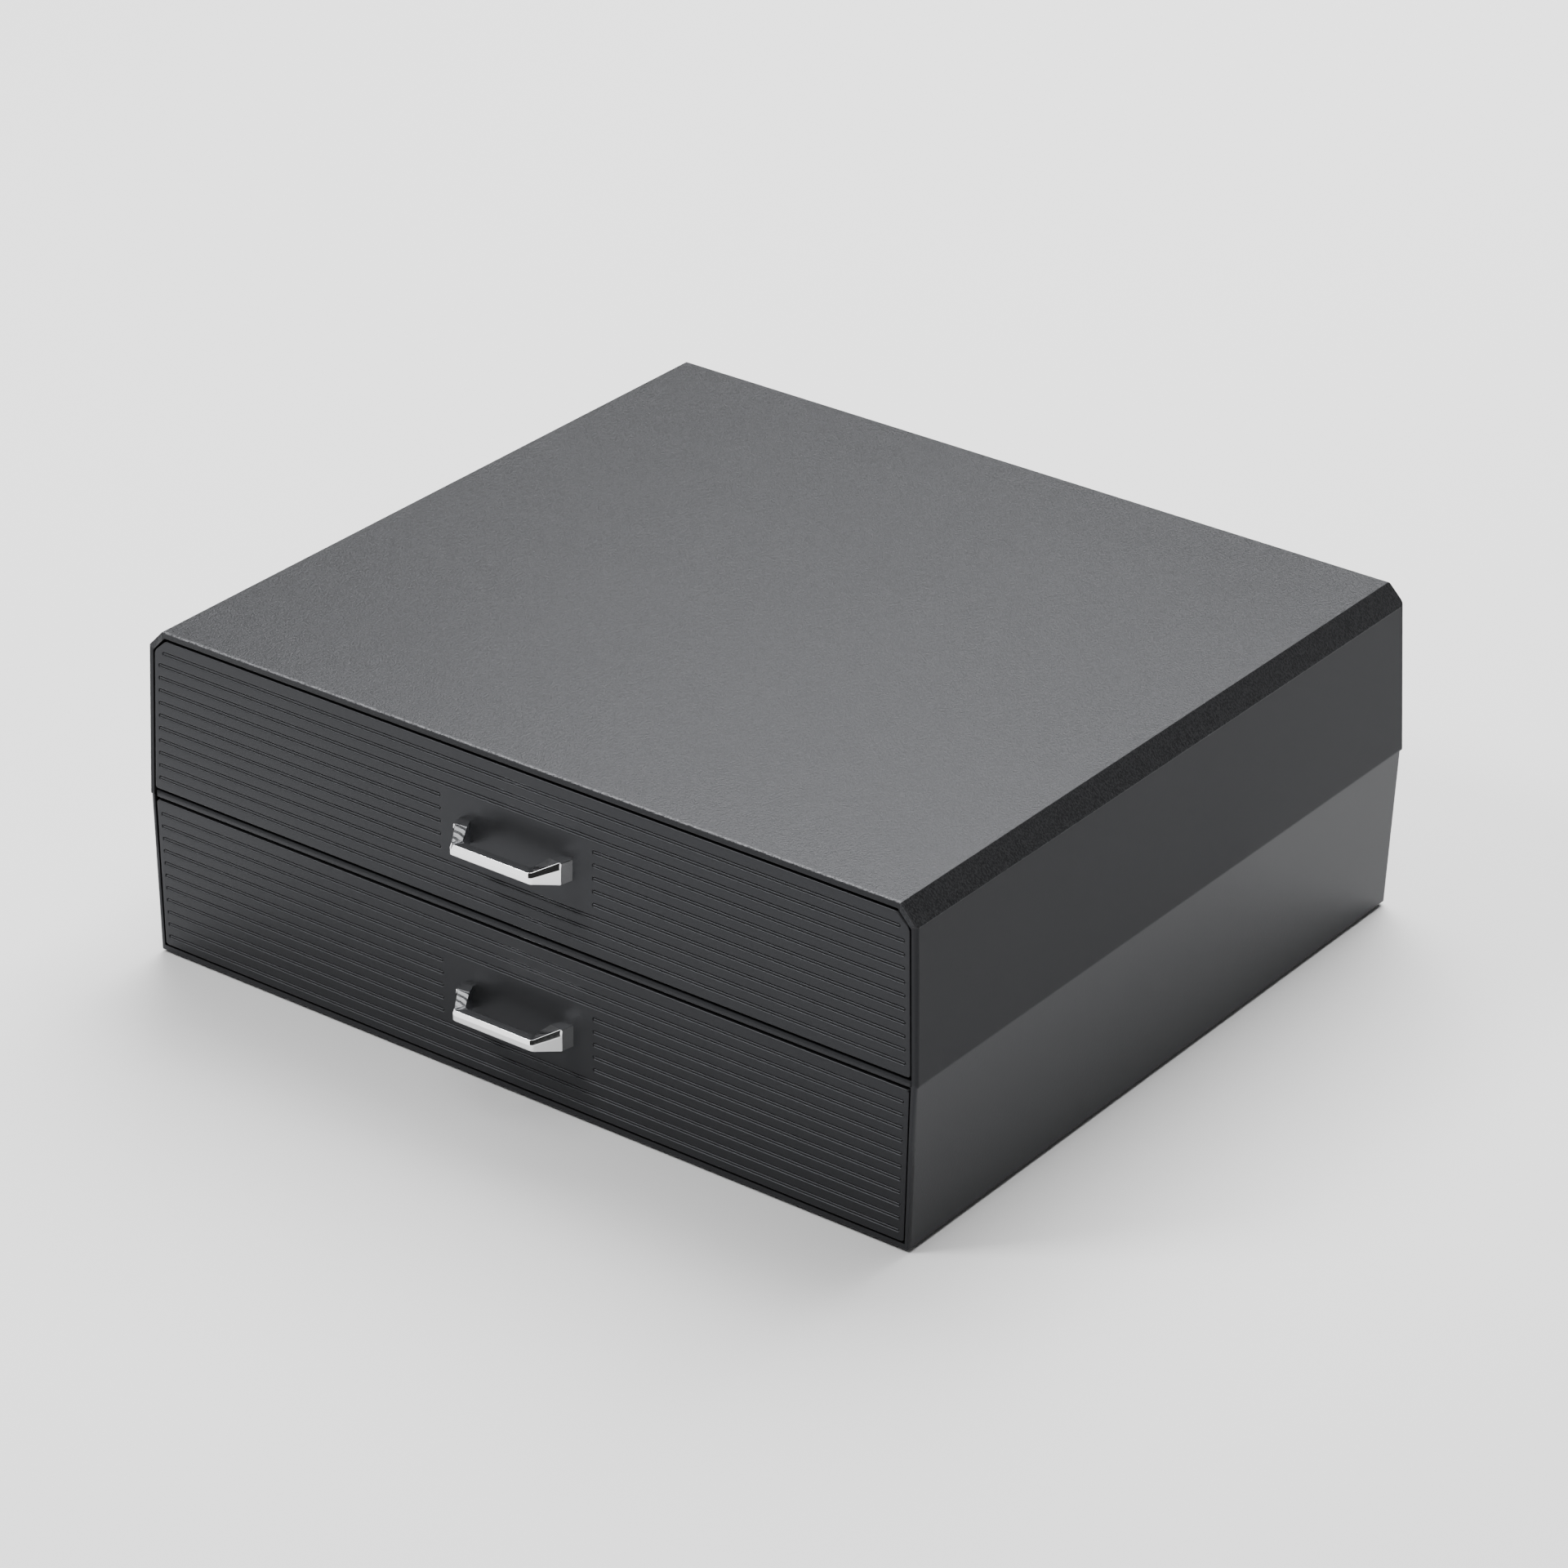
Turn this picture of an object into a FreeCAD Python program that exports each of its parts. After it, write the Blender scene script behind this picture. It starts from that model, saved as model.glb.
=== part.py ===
import FreeCAD, Part
import collections
import math
import os
import Sketcher

# A two-drawer cabinet for coffee capsules, in millimetres.
# X runs to the right, Y to the back and Z up; the drawers open towards -Y.
# The origin is the middle of the whole footprint, handles included, on the table.

SIZES = [
    # the case: a cover over a tub, both open at the front
    ("case_width", 340),          # across the lip of the cover
    ("case_depth", 313),          # front rim to the lip at the back
    ("case_height", 131.8),       # underside of the tub to the top deck
    ("parting_height", 64.5),     # underside of the tub to the parting line
    ("cover_wall", 2.3),
    ("tub_wall", 2.0),
    ("cover_side_draft", 2.4),
    ("cover_back_draft", 4.5),
    ("chamfer_across", 6.6),
    ("chamfer_down", 7.4),
    ("tub_step", 0.6),            # the tub's top is set in under the lip
    ("tub_side_draft", 1.2),
    ("tub_back_draft", 1.6),
    ("tub_front_lean", 1.1),      # the tub's front leans back towards its foot
    ("rim_round", 1.2),
    ("corner_round", 2.0),
    ("edge_round", 0.8),
    # the ledge round the tub's top, the shelf on it and the screws through both
    ("ledge_reach", 157.5),       # half the clear width between the two ledges
    ("ledge_thick", 2.0),
    ("ledge_setback", 14),
    ("shelf_thick", 2.8),
    ("shelf_half", 167.1),
    ("shelf_setback", 0.4),
    ("boss_place", 162.4),
    ("boss_half", 3.5),
    ("boss_height", 13),
    ("boss_first", 34),
    ("boss_pitch", 236),
    ("screw_radius", 1.75),
    ("screw_clearance", 1.95),
    ("head_radius", 3.3),
    ("head_height", 1.8),
    ("shell_screw_length", 15),
    # what the drawers run on
    ("rail_place", 146),
    ("rail_width", 6),
    ("rail_height", 0.8),
    ("rail_inset", 12),
    ("hold_down_place", 160),
    ("stop_setback", 14),
    ("stop_inner", 150.8),
    ("stop_width", 6),
    ("stop_thick", 2.4),
    ("stop_height", 2.7),
    ("hold_down_play", 0.8),
    ("bumper_place", 120),
    ("bumper_width", 3),
    ("bumper_height", 12),
    # drawers
    ("front_thick", 2.4),
    ("front_skirt", 3.0),
    ("skirt_wall", 2.0),
    ("upper_front_foot", 68.4),
    ("upper_front_top", 128.3),
    ("upper_front_half", 167.0),
    ("upper_shoulder_half", 164.9),
    ("upper_shoulder", 123.5),
    ("upper_top_half", 159.8),
    ("lower_front_foot", 2.6),
    ("lower_front_top", 62.7),
    ("lower_front_half_foot", 165.7),
    ("lower_front_half_top", 166.7),
    ("front_corner", 1.2),
    # grooves in the fronts: a recess with a bead along its middle
    ("groove_count", 11),
    ("groove_pitch", 5.09),
    ("groove_first", 3.95),       # lowest groove above the panel's lower edge
    ("groove_half", 1.1),         # half a groove's height
    ("groove_depth", 0.7),
    ("groove_inset", 1.6),        # from the panel's side to the end of a groove
    ("top_groove_inset", 3.4),    # the top groove is shorter, for the cut corners
    ("groove_corner", 0.65),
    ("bead_half", 0.5),
    ("bead_height", 0.55),
    ("bead_bevel", 0.38),
    ("patch_half", 33),
    # trays
    ("tray_half", 156),
    ("tray_taper", 1.2),
    ("tray_height", 57),
    ("tray_wall", 2.0),
    ("tray_corner", 4.0),
    ("tray_depth", 298.6),
    ("tray_lift", 1.0),           # tray above the shelf or the tub's floor
    ("flange_half", 163),
    ("flange_thick", 1.6),
    ("lug_height", 3.3),
    ("lug_length", 4),
    ("lug_place", 231.5),
    ("front_screw_place", 140),
    ("front_screw_length", 5.0),
    ("front_block", 8),
    ("handle_block", 54),
    # lane dividers
    ("lane_count", 5),
    ("divider_thick", 1.6),
    ("divider_height", 46),
    ("divider_corner", 5),
    ("divider_gap", 0.4),
    ("divider_lift", 0.1),
    ("guide_reach", 4),
    ("guide_thick", 1.2),
    # handles
    ("handle_reach", 14.4),
    ("handle_level", 29.55),      # handle's middle above the panel's lower edge
    ("post_half_height", 4.4),
    ("post_inner", 19.9),
    ("post_outer", 24.8),
    ("arm_outer", 23.7),
    ("arm_outer_reach", 4.9),
    ("arm_inner", 18.1),
    ("arm_inner_reach", 4.0),
    ("bar_half_height", 2.15),
    ("bar_outer", 17.65),
    ("bar_inner", 15.0),
    ("bar_inner_reach", 10.35),
    ("facet_in", 0.7),
    ("bar_facet_down", 1.8),
    ("arm_facet_down", 2.6),
    ("under_bevel", 0.4),
    ("handle_screw_place", 21.6),
    ("handle_screw_length", 11.6),
    ("small_screw_radius", 1.4),
    ("small_screw_clearance", 1.6),
    ("small_head_radius", 2.9),
    ("small_head_height", 1.8),
    # feet
    ("foot_radius", 9),
    ("foot_height", 1.2),
    ("foot_inset_x", 24),
    ("foot_inset_y", 22),
]

UP = FreeCAD.Vector(0, 0, 1)
BOSS_ROWS = 2

document = FreeCAD.newDocument("capsule_drawer")
sheet = document.addObject("Spreadsheet::Sheet", "Sizes")


class Dim:
    """A length that carries both its value and the sheet's formula for it."""

    def __init__(self, value, formula):
        self.value = float(value)
        self.formula = formula

    def __add__(self, other):
        other = as_dim(other)
        return Dim(self.value + other.value, f"({self.formula} + {other.formula})")

    def __sub__(self, other):
        other = as_dim(other)
        return Dim(self.value - other.value, f"({self.formula} - {other.formula})")

    def __mul__(self, number):
        number = as_dim(number)
        return Dim(self.value * number.value, f"({self.formula} * {number.formula})")

    def __truediv__(self, number):
        number = as_dim(number)
        return Dim(self.value / number.value, f"({self.formula} / {number.formula})")

    def __radd__(self, other):
        return as_dim(other) + self

    def __rsub__(self, other):
        return as_dim(other) - self

    def __neg__(self):
        return Dim(-self.value, f"(-{self.formula})")


def as_dim(number):
    """Gives plain numbers the same form as sizes from the sheet."""
    return number if isinstance(number, Dim) else Dim(number, repr(float(number)))


def fill_sheet():
    """Writes the driving sizes into the sheet and reads them back by name."""
    for row, (name, value) in enumerate(SIZES, start=1):
        sheet.set(f"A{row}", name)
        sheet.set(f"B{row}", str(value))
        sheet.setAlias(f"B{row}", name)
    document.recompute()
    return {name: Dim(sheet.get(name), f"Sizes.{name}") for name, _ in SIZES}


S = fill_sheet()

# Places that several pieces share, in the case's own frame: Y from the front rim,
# Z from the underside of the tub.
HALF = S["case_width"] / 2
TOP_HALF = HALF - S["cover_side_draft"]
COVER_RISE = S["case_height"] - S["parting_height"]
TUB_HALF = HALF - S["tub_step"]
TUB_FOOT_HALF = TUB_HALF - S["tub_side_draft"]
TUB_BACK = S["case_depth"] - S["tub_step"]
TUB_FOOT_BACK = TUB_BACK - S["tub_back_draft"]
TOP_BACK = S["case_depth"] - S["cover_back_draft"]
SHELF_TOP = S["parting_height"] + S["shelf_thick"]
CEILING = S["case_height"] - S["cover_wall"]
UPPER_TRAY_FOOT = SHELF_TOP + S["tray_lift"]
LOWER_TRAY_FOOT = S["tub_wall"] + S["tray_lift"]
TRAY_FRONT = S["front_thick"] + S["front_skirt"]
TRAY_BACK = TRAY_FRONT + S["tray_depth"]
CASE_Y = -(S["case_depth"] + S["handle_reach"]) / 2 + S["handle_reach"]


def bind(thing, prop, dim):
    """Sets a property from a size and ties it to the sheet."""
    dim = as_dim(dim)
    if "." not in prop:
        setattr(thing, prop, dim.value)
    thing.setExpression(prop, dim.formula)


def new_body(name):
    body = document.addObject("PartDesign::Body", name)
    body.Label = name
    return body


def place(body, x, y, z, lean=None):
    """Puts a finished piece at its place; a lean tips its top to the front."""
    x, y, z = as_dim(x), as_dim(y), as_dim(z)
    angle = math.degrees(math.atan(lean.value)) if lean else 0
    turn = FreeCAD.Rotation(FreeCAD.Vector(1, 0, 0), angle)
    body.Placement = FreeCAD.Placement(FreeCAD.Vector(x.value, y.value, z.value), turn)
    for axis, dim in zip("xyz", (x, y, z)):
        body.setExpression(f"Placement.Base.{axis}", dim.formula)
    if lean:
        body.setExpression("Placement.Rotation.Angle", f"atan({lean.formula})")


def new_sketch(body, role, name, lift=0):
    """A sketch on one of the body's own planes, moved along the plane's normal."""
    lift = as_dim(lift)
    sketch = body.newObject("Sketcher::SketchObject", name)
    plane = next(item for item in body.Origin.OriginFeatures if item.Role == role)
    sketch.AttachmentSupport = [(plane, "")]
    sketch.MapMode = "FlatFace"
    sketch.AttachmentOffset = FreeCAD.Placement(
        FreeCAD.Vector(0, 0, lift.value), FreeCAD.Rotation())
    sketch.setExpression("AttachmentOffset.Base.z", lift.formula)
    return sketch


def pin(sketch, places):
    """Fixes vertices of the sketch at sizes from the sketch's origin."""
    rules = []
    sizes = []
    for geometry, vertex, point in places:
        for kind, size in zip(("DistanceX", "DistanceY"), point):
            size = as_dim(size)
            rules.append(Sketcher.Constraint(kind, -1, 1, geometry, vertex, size.value))
            sizes.append(size)
    tie(sketch, rules, sizes)


def tie(sketch, rules, sizes):
    """Adds dimensions to a sketch and ties each of them to the sheet."""
    first = sketch.ConstraintCount
    sketch.addConstraint(rules)
    for index, size in enumerate(sizes, start=first):
        sketch.setExpression(f"Constraints[{index}]", size.formula)


def add_outline(sketch, points):
    """A closed run of straight edges; gives the number of its first edge."""
    first = sketch.GeometryCount
    following = [(number + 1) % len(points) for number in range(len(points))]
    sketch.addGeometry(
        [Part.LineSegment(points[i], points[j]) for i, j in enumerate(following)], False)
    sketch.addConstraint(
        [Sketcher.Constraint("Coincident", first + i, 2, first + j, 1)
         for i, j in enumerate(following)])
    return first


def add_polygon(sketch, corners):
    """A closed outline with every corner pinned at its sizes."""
    corners = [(as_dim(a), as_dim(b)) for a, b in corners]
    first = add_outline(sketch, [FreeCAD.Vector(a.value, b.value, 0) for a, b in corners])
    pin(sketch, [(first + number, 1, corner) for number, corner in enumerate(corners)])


def add_rectangle(sketch, left, low, right, high):
    """A level rectangle, pinned at two opposite corners."""
    left, low, right, high = (as_dim(size) for size in (left, low, right, high))
    corners = [(left, low), (right, low), (right, high), (left, high)]
    first = add_outline(sketch, [FreeCAD.Vector(a.value, b.value, 0) for a, b in corners])
    sketch.addConstraint(
        [Sketcher.Constraint(kind, first + number)
         for number, kind in enumerate(["Horizontal", "Vertical"] * 2)])
    pin(sketch, [(first, 1, (left, low)), (first + 2, 1, (right, high))])


def add_circle(sketch, x, y, radius):
    x, y, radius = as_dim(x), as_dim(y), as_dim(radius)
    circle = Part.Circle(FreeCAD.Vector(x.value, y.value, 0), UP, radius.value)
    index = sketch.addGeometry(circle, False)
    pin(sketch, [(index, 3, (x, y))])
    tie(sketch, [Sketcher.Constraint("Radius", index, radius.value)], [radius])


def span(side, near_x, far_x):
    """A stretch of X on one side of the middle, its left end first."""
    return (near_x, far_x) if side > 0 else (-far_x, -near_x)


def add_feature(body, kind, name, profile, length, backwards=False, both_sides=False):
    """A pad or a pocket; a pocket that takes nothing away is an error."""
    before = body.Shape.Volume if kind == "Pocket" else 0
    feature = body.newObject(f"PartDesign::{kind}", name)
    feature.Profile = profile
    bind(feature, "Length", length)
    feature.Reversed = backwards
    if both_sides:
        feature.Midplane = True
    document.recompute()
    if kind == "Pocket" and feature.Shape.Volume >= before - 0.01:
        raise RuntimeError(f"{name} of {body.Label} cuts nothing")
    return feature


def pick_edges(feature, wanted):
    """Names of the edges whose middle, start and end meet a test."""
    names = []
    for number, edge in enumerate(feature.Shape.Edges, start=1):
        middle = edge.valueAt((edge.FirstParameter + edge.LastParameter) / 2)
        ends = [vertex.Point for vertex in edge.Vertexes]
        if wanted(middle, ends):
            names.append(f"Edge{number}")
    return names


def pick_faces(feature, wanted):
    """Names of the faces whose centre and normal meet a test."""
    names = []
    for number, face in enumerate(feature.Shape.Faces, start=1):
        if wanted(face.CenterOfMass, face.normalAt(0, 0)):
            names.append(f"Face{number}")
    return names


def round_edges(body, name, base, wanted, radius):
    fillet = body.newObject("PartDesign::Fillet", name)
    fillet.Base = (base, pick_edges(base, wanted))
    bind(fillet, "Radius", radius)
    document.recompute()
    return fillet


def chamfer(body, name, base, wanted, size):
    cut = body.newObject("PartDesign::Chamfer", name)
    cut.Base = (base, pick_edges(base, wanted))
    bind(cut, "Size", size)
    document.recompute()
    return cut


def face_at(axis, level, margin=0.05):
    """A test for faces square to an axis, more or less, at a level along it."""
    level = as_dim(level).value
    return lambda centre, normal: (abs(normal[axis]) > 0.9
                                   and abs(centre[axis] - level) < margin)


def near(a, b, margin=0.05):
    return abs(a - as_dim(b).value) < margin


def along(ends, axis, length=1.0):
    """True for a straight run mostly along one axis."""
    if len(ends) < 2:
        return False
    run = [abs(ends[0][i] - ends[1][i]) for i in range(3)]
    return run[axis] > length and run[axis] > 5 * (sum(run) - run[axis])


def draft_faces(body, name, base, wanted, neutral, inset, height, below=False):
    """Leans faces in by an inset over a height, above or below a level face."""
    inset, height = as_dim(inset), as_dim(height)
    draft = body.newObject("PartDesign::Draft", name)
    draft.Base = (base, pick_faces(base, wanted))
    draft.NeutralPlane = (base, pick_faces(base, neutral))
    draft.Angle = math.degrees(math.atan(inset.value / height.value))
    draft.setExpression("Angle", f"atan({inset.formula} / {height.formula})")
    draft.Reversed = below
    document.recompute()
    return draft


def shell_out(body, name, base, open_faces, thickness):
    """Hollows a solid to a wall, leaving the picked faces open."""
    hollow = body.newObject("PartDesign::Thickness", name)
    hollow.Base = (base, pick_faces(base, open_faces))
    bind(hollow, "Value", thickness)
    hollow.Reversed = True
    hollow.Join = 1
    document.recompute()
    return hollow


def boss_rows():
    """Where the screws stand along the case's depth."""
    return [S["boss_first"] + S["boss_pitch"] * row for row in range(BOSS_ROWS)]


def add_stops(body, foot, height):
    """Two blocks behind the front that catch the tray's lugs; they hang down."""
    sketch = new_sketch(body, "XY_Plane", "stop_outline", foot)
    for side in (-1, 1):
        left, right = span(side, S["stop_inner"], S["stop_inner"] + S["stop_width"])
        add_rectangle(sketch, left, S["stop_setback"], right,
                      S["stop_setback"] + S["stop_thick"])
    return add_feature(body, "Pad", "stops", sketch, height, backwards=True)


def add_bumpers(body, foot, back):
    """Two ribs on the back wall that the tray comes to rest against."""
    sketch = new_sketch(body, "XY_Plane", "bumper_outline", foot)
    for side in (-1, 1):
        left, right = span(side, S["bumper_place"], S["bumper_place"] + S["bumper_width"])
        add_rectangle(sketch, left, TRAY_BACK + 0.3, right, back)
    return add_feature(body, "Pad", "bumpers", sketch, S["bumper_height"])


def make_upper_shell():
    """The cover: top deck with cut side edges, drafted side walls and back."""
    body = new_body("upper_shell")
    lip = new_sketch(body, "XY_Plane", "lip_outline", S["parting_height"])
    add_rectangle(lip, -HALF, 0, HALF, S["case_depth"])
    block = add_feature(body, "Pad", "block", lip, COVER_RISE)
    underside = face_at(2, S["parting_height"])
    sides = draft_faces(body, "side_draft", block, lambda c, n: abs(n.x) > 0.9,
                        underside, S["cover_side_draft"], COVER_RISE)
    back = draft_faces(body, "back_draft", sides, face_at(1, S["case_depth"], 5),
                       underside, S["cover_back_draft"], COVER_RISE)
    cut = body.newObject("PartDesign::Chamfer", "side_chamfers")
    cut.Base = (back, pick_edges(
        back, lambda m, e: near(m.z, S["case_height"]) and along(e, 1, 50)))
    cut.ChamferType = "Two distances"
    bind(cut, "Size", S["chamfer_down"])
    bind(cut, "Size2", S["chamfer_across"])
    document.recompute()
    front = face_at(1, 0)
    hollow = shell_out(body, "hollow", cut, lambda c, n: front(c, n) or underside(c, n),
                       S["cover_wall"])
    corners = round_edges(
        body, "back_corners", hollow,
        lambda m, e: along(e, 2, 20) and m.y > TOP_BACK.value
        and abs(m.x) > TOP_HALF.value, S["corner_round"])
    deck_edges = round_edges(
        body, "deck_edges", corners,
        lambda m, e: near(m.z, S["case_height"]) and m.y > TOP_BACK.value - 0.5
        and along(e, 0, 50), S["edge_round"])
    round_edges(
        body, "rim_rounding", deck_edges,
        lambda m, e: near(m.y, 0) and along(e, 2, 20) and abs(m.x) > TOP_HALF.value,
        S["rim_round"])

    # Ribs under the deck hold the drawer's flanges down when it is pulled out.
    buried = 0.5
    ribs = new_sketch(body, "XY_Plane", "hold_down_ribs", CEILING + buried)
    for side in (-1, 1):
        left, right = span(side, S["hold_down_place"] - S["cover_wall"] / 2,
                           S["hold_down_place"] + S["cover_wall"] / 2)
        add_rectangle(ribs, left, S["ledge_setback"], right,
                      TOP_BACK - S["cover_wall"] - 1)
    rib_height = CEILING + buried - UPPER_TRAY_FOOT - S["tray_height"] - S["hold_down_play"]
    add_feature(body, "Pad", "hold_downs", ribs, rib_height, backwards=True)
    add_stops(body, CEILING + buried, S["stop_height"] + buried)
    tray_top = UPPER_TRAY_FOOT + S["tray_height"]
    add_bumpers(body, tray_top - S["bumper_height"] - 2, TOP_BACK - S["cover_wall"] / 4)

    # Screw bosses stand on the shelf, grown out of the side walls.
    bosses = new_sketch(body, "XY_Plane", "boss_outline", SHELF_TOP)
    bores = new_sketch(body, "XY_Plane", "bore_outline", SHELF_TOP)
    for side in (-1, 1):
        for row in boss_rows():
            add_circle(bores, S["boss_place"] * side, row, S["screw_radius"])
            left, right = span(side, S["boss_place"] - S["boss_half"],
                               HALF - S["cover_wall"] + 0.3)
            add_rectangle(bosses, left, row - S["boss_half"], right, row + S["boss_half"])
    add_feature(body, "Pad", "bosses", bosses, S["boss_height"])
    add_feature(body, "Pocket", "bores", bores, S["boss_height"] - 1.5, backwards=True)
    place(body, 0, CASE_Y, S["foot_height"])
    return body


def make_lower_shell():
    """The tub: drafted walls, a ledge for the shelf and rails for the drawer."""
    body = new_body("lower_shell")
    head = new_sketch(body, "XY_Plane", "head_outline", S["parting_height"])
    add_rectangle(head, -TUB_HALF, 0, TUB_HALF, TUB_BACK)
    block = add_feature(body, "Pad", "block", head, S["parting_height"], backwards=True)
    top = face_at(2, S["parting_height"])
    sides = draft_faces(body, "side_draft", block, lambda c, n: abs(n.x) > 0.9,
                        top, S["tub_side_draft"], S["parting_height"], below=True)
    back = draft_faces(body, "back_draft", sides, face_at(1, TUB_BACK, 2),
                       top, S["tub_back_draft"], S["parting_height"], below=True)
    front = face_at(1, 0, 2)
    lean = draft_faces(body, "front_lean", back, front, top, S["tub_front_lean"],
                       S["parting_height"], below=True)
    hollow = shell_out(body, "hollow", lean, lambda c, n: front(c, n) or top(c, n),
                       S["tub_wall"])
    corners = round_edges(
        body, "back_corners", hollow,
        lambda m, e: along(e, 2, 20) and m.y > TUB_FOOT_BACK.value - 1
        and abs(m.x) > TUB_FOOT_HALF.value - 1, S["corner_round"])
    base_edges = chamfer(
        body, "base_edges", corners,
        lambda m, e: near(m.z, 0) and (along(e, 0, 50) and m.y > 5 or along(e, 1, 50)),
        S["edge_round"])
    round_edges(
        body, "rim_rounding", base_edges,
        lambda m, e: m.y < 2 and along(e, 2, 20) and abs(m.x) > TUB_FOOT_HALF.value,
        S["rim_round"])

    ledge = new_sketch(body, "XY_Plane", "ledge_outline", S["parting_height"])
    for side in (-1, 1):
        left, right = span(side, S["ledge_reach"], TUB_HALF - S["tub_wall"] + 0.5)
        add_rectangle(ledge, left, S["ledge_setback"], right,
                      TUB_BACK - S["tub_wall"] + 0.5)
    add_feature(body, "Pad", "ledge", ledge, S["ledge_thick"], backwards=True)
    holes = new_sketch(body, "XY_Plane", "screw_hole_outline", S["parting_height"])
    for side in (-1, 1):
        for row in boss_rows():
            add_circle(holes, S["boss_place"] * side, row, S["screw_clearance"])
    add_feature(body, "Pocket", "screw_holes", holes, S["ledge_thick"])

    buried = 0.3
    add_rails(body, S["tub_wall"] - buried, buried)
    tray_top = LOWER_TRAY_FOOT + S["tray_height"]
    add_bumpers(body, tray_top - S["bumper_height"] - 2, TUB_BACK - S["tub_wall"] / 2)
    place(body, 0, CASE_Y, S["foot_height"])
    return body


def add_rails(body, foot, extra):
    """Two low rails that the tray slides on."""
    sketch = new_sketch(body, "XY_Plane", "rail_outline", foot)
    for side in (-1, 1):
        middle = S["rail_place"] * side
        add_rectangle(sketch, middle - S["rail_width"] / 2, S["rail_inset"],
                      middle + S["rail_width"] / 2,
                      S["case_depth"] - S["rail_inset"] - S["cover_back_draft"])
    return add_feature(body, "Pad", "rails", sketch, S["rail_height"] + extra)


def make_divider_shelf():
    """The shelf between the drawers, with stops under it and rails on it."""
    body = new_body("divider_shelf")
    outline = new_sketch(body, "XY_Plane", "outline", S["parting_height"])
    back = TUB_BACK - S["cover_wall"] - 0.6
    add_rectangle(outline, -S["shelf_half"], S["shelf_setback"], S["shelf_half"], back)
    plate = add_feature(body, "Pad", "plate", outline, S["shelf_thick"])
    round_edges(
        body, "front_rounding", plate,
        lambda m, e: near(m.y, S["shelf_setback"]) and (along(e, 0, 50) or along(e, 2)),
        S["edge_round"])
    holes = new_sketch(body, "XY_Plane", "screw_holes", SHELF_TOP)
    for side in (-1, 1):
        for row in boss_rows():
            add_circle(holes, S["boss_place"] * side, row, S["screw_clearance"])
    add_feature(body, "Pocket", "holes", holes, S["shelf_thick"])
    add_rails(body, SHELF_TOP - 0.3, as_dim(0.3))
    add_stops(body, S["parting_height"] + 0.3, S["stop_height"] + 0.3)
    place(body, 0, CASE_Y, S["foot_height"])
    return body


def foot_places():
    """Centres of the four feet in the case's frame."""
    across = TUB_FOOT_HALF - S["foot_inset_x"]
    deep = TUB_FOOT_BACK - S["foot_inset_y"]
    return [(-across, S["foot_inset_y"]), (across, S["foot_inset_y"]),
            (-across, deep), (across, deep)]


def make_feet():
    """Round rubber pads, stuck under the tub's corners."""
    names = ("foot_front_left", "foot_front_right", "foot_back_left", "foot_back_right")
    for name, (x, y) in zip(names, foot_places()):
        body = new_body(name)
        disc = new_sketch(body, "XY_Plane", "disc_outline")
        add_circle(disc, 0, 0, S["foot_radius"])
        add_feature(body, "Pad", "pad", disc, S["foot_height"])
        place(body, x, CASE_Y + y, 0)


def upper_front_outline():
    """Corners of the upper front, with its top corners cut like the case."""
    foot = S["upper_front_foot"]
    right = [(S["upper_front_half"], as_dim(0)),
             (S["upper_shoulder_half"], S["upper_shoulder"] - foot),
             (S["upper_top_half"], S["upper_front_top"] - foot)]
    return mirror_outline(right)


def lower_front_outline():
    """Corners of the lower front, narrower at its foot like the tub."""
    height = S["lower_front_top"] - S["lower_front_foot"]
    right = [(S["lower_front_half_foot"], as_dim(0)), (S["lower_front_half_top"], height)]
    return mirror_outline(right)


def mirror_outline(right):
    """A closed outline from the corners of its right half, foot first."""
    return right + [(-x, z) for x, z in reversed(right)]


def shrink(outline, amount):
    """The same outline with its sides moved in and its ends moved to the middle."""
    heights = [z.value for _, z in outline]
    moved = []
    for x, z in outline:
        inward = x - amount if x.value > 0 else x + amount
        if z.value == min(heights):
            moved.append((inward, z + amount))
        elif z.value == max(heights):
            moved.append((inward, z - amount))
        else:
            moved.append((inward, z))
    return moved


def side_at(outline, level):
    """Half width of a front at a level, on the straight run of its side."""
    right = [(x, z) for x, z in outline if x.value > 0]
    low = min(right, key=lambda point: point[1].value)
    above = [point for point in right if point[1].value > low[1].value]
    high = min(above, key=lambda point: point[1].value)
    share = level / high[1]
    return low[0] + (high[0] - low[0]) * share


def groove_runs(drawer):
    """Each groove as its left end, right end and level."""
    runs = []
    count = int(S["groove_count"].value)
    middle = (count - 1) // 2
    for row in range(count):
        level = S["groove_first"] + S["groove_pitch"] * row
        end = side_at(drawer.outline, level) - S["groove_inset"]
        if drawer.cut_corners and row == count - 1:
            end = S["upper_shoulder_half"] - S["top_groove_inset"]
        if abs(row - middle) <= 2:
            runs.append((-end, -S["patch_half"], level))
            runs.append((S["patch_half"], end, level))
        else:
            runs.append((-end, end, level))
    return runs


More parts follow.
